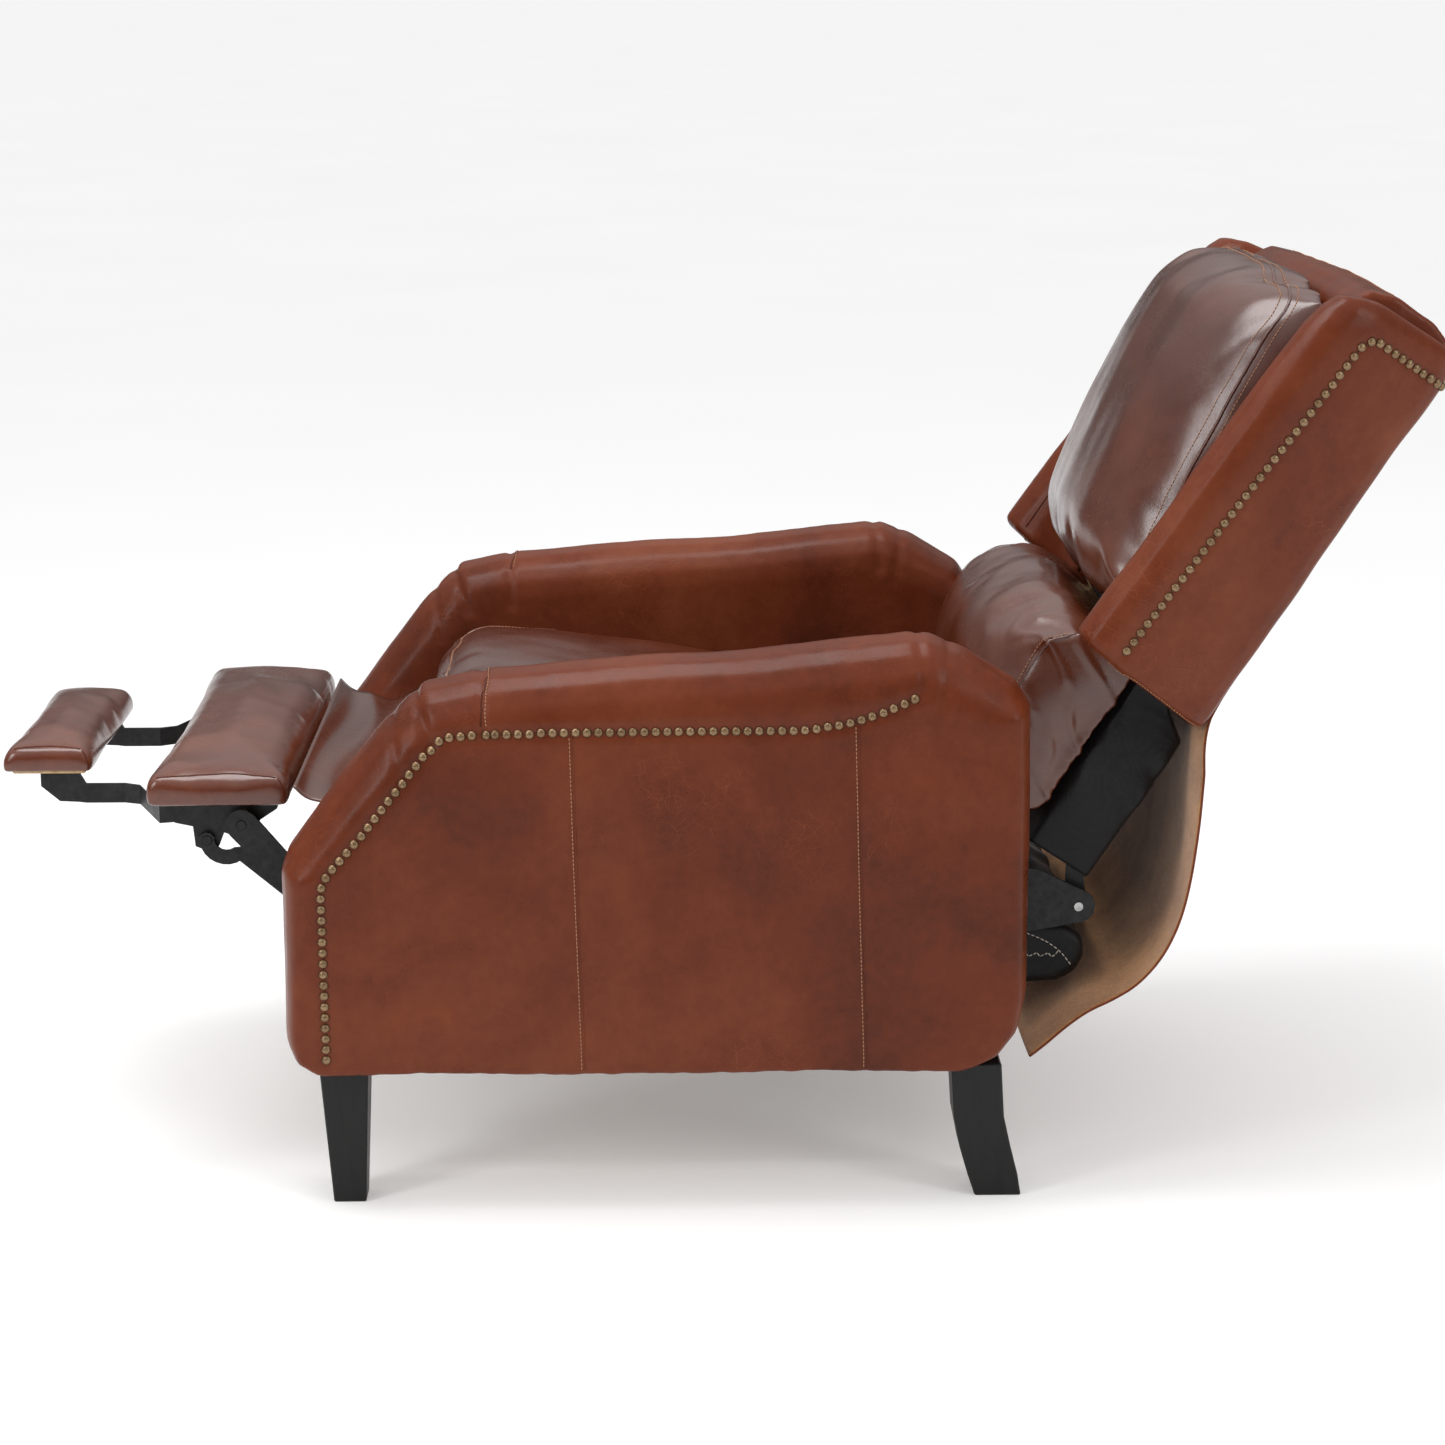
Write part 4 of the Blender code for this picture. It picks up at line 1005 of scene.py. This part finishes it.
# ---------------------------------------------------------------- studio
def aim(obj, target):
    obj.rotation_euler = (Vector(target) - obj.location).to_track_quat("-Z", "Y").to_euler()


def softbox(name, place, target, size, power):
    data = bpy.data.lights.new(name, "AREA")
    data.shape = "RECTANGLE"
    data.size, data.size_y = size
    data.energy = power
    lamp = bpy.data.objects.new(name, data)
    lamp.location = place
    bpy.context.scene.collection.objects.link(lamp)
    aim(lamp, target)


FLOOR_REACH = 400.0
SKY_RANGE = {"From Min": 0.08, "From Max": 0.75, "To Min": 0.06, "To Max": 1.05}


def make_floor():
    reach = FLOOR_REACH
    corners = [(-reach, -reach, 0), (reach, -reach, 0), (reach, reach, 0), (-reach, reach, 0)]
    s = Shader("pale_floor")
    tone = s.ramp(s.noise(0.8, 2.0), [(0.3, (0.80, 0.80, 0.80)), (0.7, (0.82, 0.82, 0.82))])
    s.set(Base_Color=tone, Roughness=0.85, Specular_IOR_Level=0.2)
    s.set(Emission_Color=(1.0, 1.0, 1.0, 1.0), Emission_Strength=0.24)
    LOOK["floor"] = s.made
    floor = mesh_of("studio_floor", corners, [(0, 1, 2, 3)], False)
    new_object("studio_floor", floor, "floor")


def make_world():
    """White where the camera sees it. As light it is dim near the horizon and bright overhead."""
    world = bpy.data.worlds.new("studio")
    world.use_nodes = True
    tree = world.node_tree
    direction = tree.nodes.new("ShaderNodeTexCoord")
    parts = tree.nodes.new("ShaderNodeSeparateXYZ")
    sky = tree.nodes.new("ShaderNodeMapRange")
    for socket, value in SKY_RANGE.items():
        sky.inputs[socket].default_value = value
    tree.links.new(direction.outputs["Generated"], parts.inputs[0])
    tree.links.new(parts.outputs["Z"], sky.inputs["Value"])
    path = tree.nodes.new("ShaderNodeLightPath")
    backdrop = tree.nodes.new("ShaderNodeMath")
    backdrop.operation = "MAXIMUM"
    tree.links.new(sky.outputs["Result"], backdrop.inputs[0])
    tree.links.new(path.outputs["Is Camera Ray"], backdrop.inputs[1])
    tree.links.new(backdrop.outputs[0], tree.nodes["Background"].inputs["Strength"])
    tree.nodes["Background"].inputs["Color"].default_value = (1.0, 1.0, 1.0, 1.0)
    bpy.context.scene.world = world


def make_studio():
    make_floor()
    make_world()
    bpy.context.scene.view_settings.view_transform = "Standard"
    softbox("overhead_softbox", (0.2, -0.5, 2.6), (0, 0, 0.5), (0.9, 2.0), 36)
    softbox("front_softbox", (2.2, -2.6, 1.9), (0, 0, 0.5), (0.7, 1.5), 30)
    softbox("rear_softbox", (2.0, 2.4, 1.7), (0, 0.2, 0.5), (0.7, 1.5), 18)


CAMERA_PLACE = (3.4535, 0.4032, 1.2746)
CAMERA_DIP, CAMERA_SWING = math.radians(13.7), math.radians(1.2011)
LENS, SENSOR = 77.93, 36.0


def make_camera():
    """Side view from the sitter's left, about 1.3 m above the floor and looking a little down."""
    data = bpy.data.cameras.new("photo_camera")
    data.sensor_width = SENSOR
    data.lens = LENS
    data.clip_end = 1000.0
    camera = bpy.data.objects.new("photo_camera", data)
    bpy.context.scene.collection.objects.link(camera)
    level = math.cos(CAMERA_DIP)
    forward = Vector((-math.cos(CAMERA_SWING) * level, math.sin(CAMERA_SWING) * level, -math.sin(CAMERA_DIP)))
    right = Vector((math.sin(CAMERA_SWING), math.cos(CAMERA_SWING), 0.0))
    up = right.cross(forward)
    turn = Matrix((right, up, -forward)).transposed().to_4x4()
    camera.matrix_world = Matrix.Translation(at(*CAMERA_PLACE)) @ turn
    bpy.context.scene.camera = camera


make_camera()
make_studio()
make_arms()
make_back_shell()
make_seat_cushion()
make_back_cushion()
make_lumbar_cushion()
make_pad("footrest_pad_leather", "footrest_pad", "footrest_board", "footrest", 0.010, 101)
make_pad("flipper_pad_leather", "flipper_pad", "flipper_board", "flipper", 0.007, 111)
make_flap()
make_web()
make_linings()
make_rivets()
make_washers()
paint_cad_nodes()
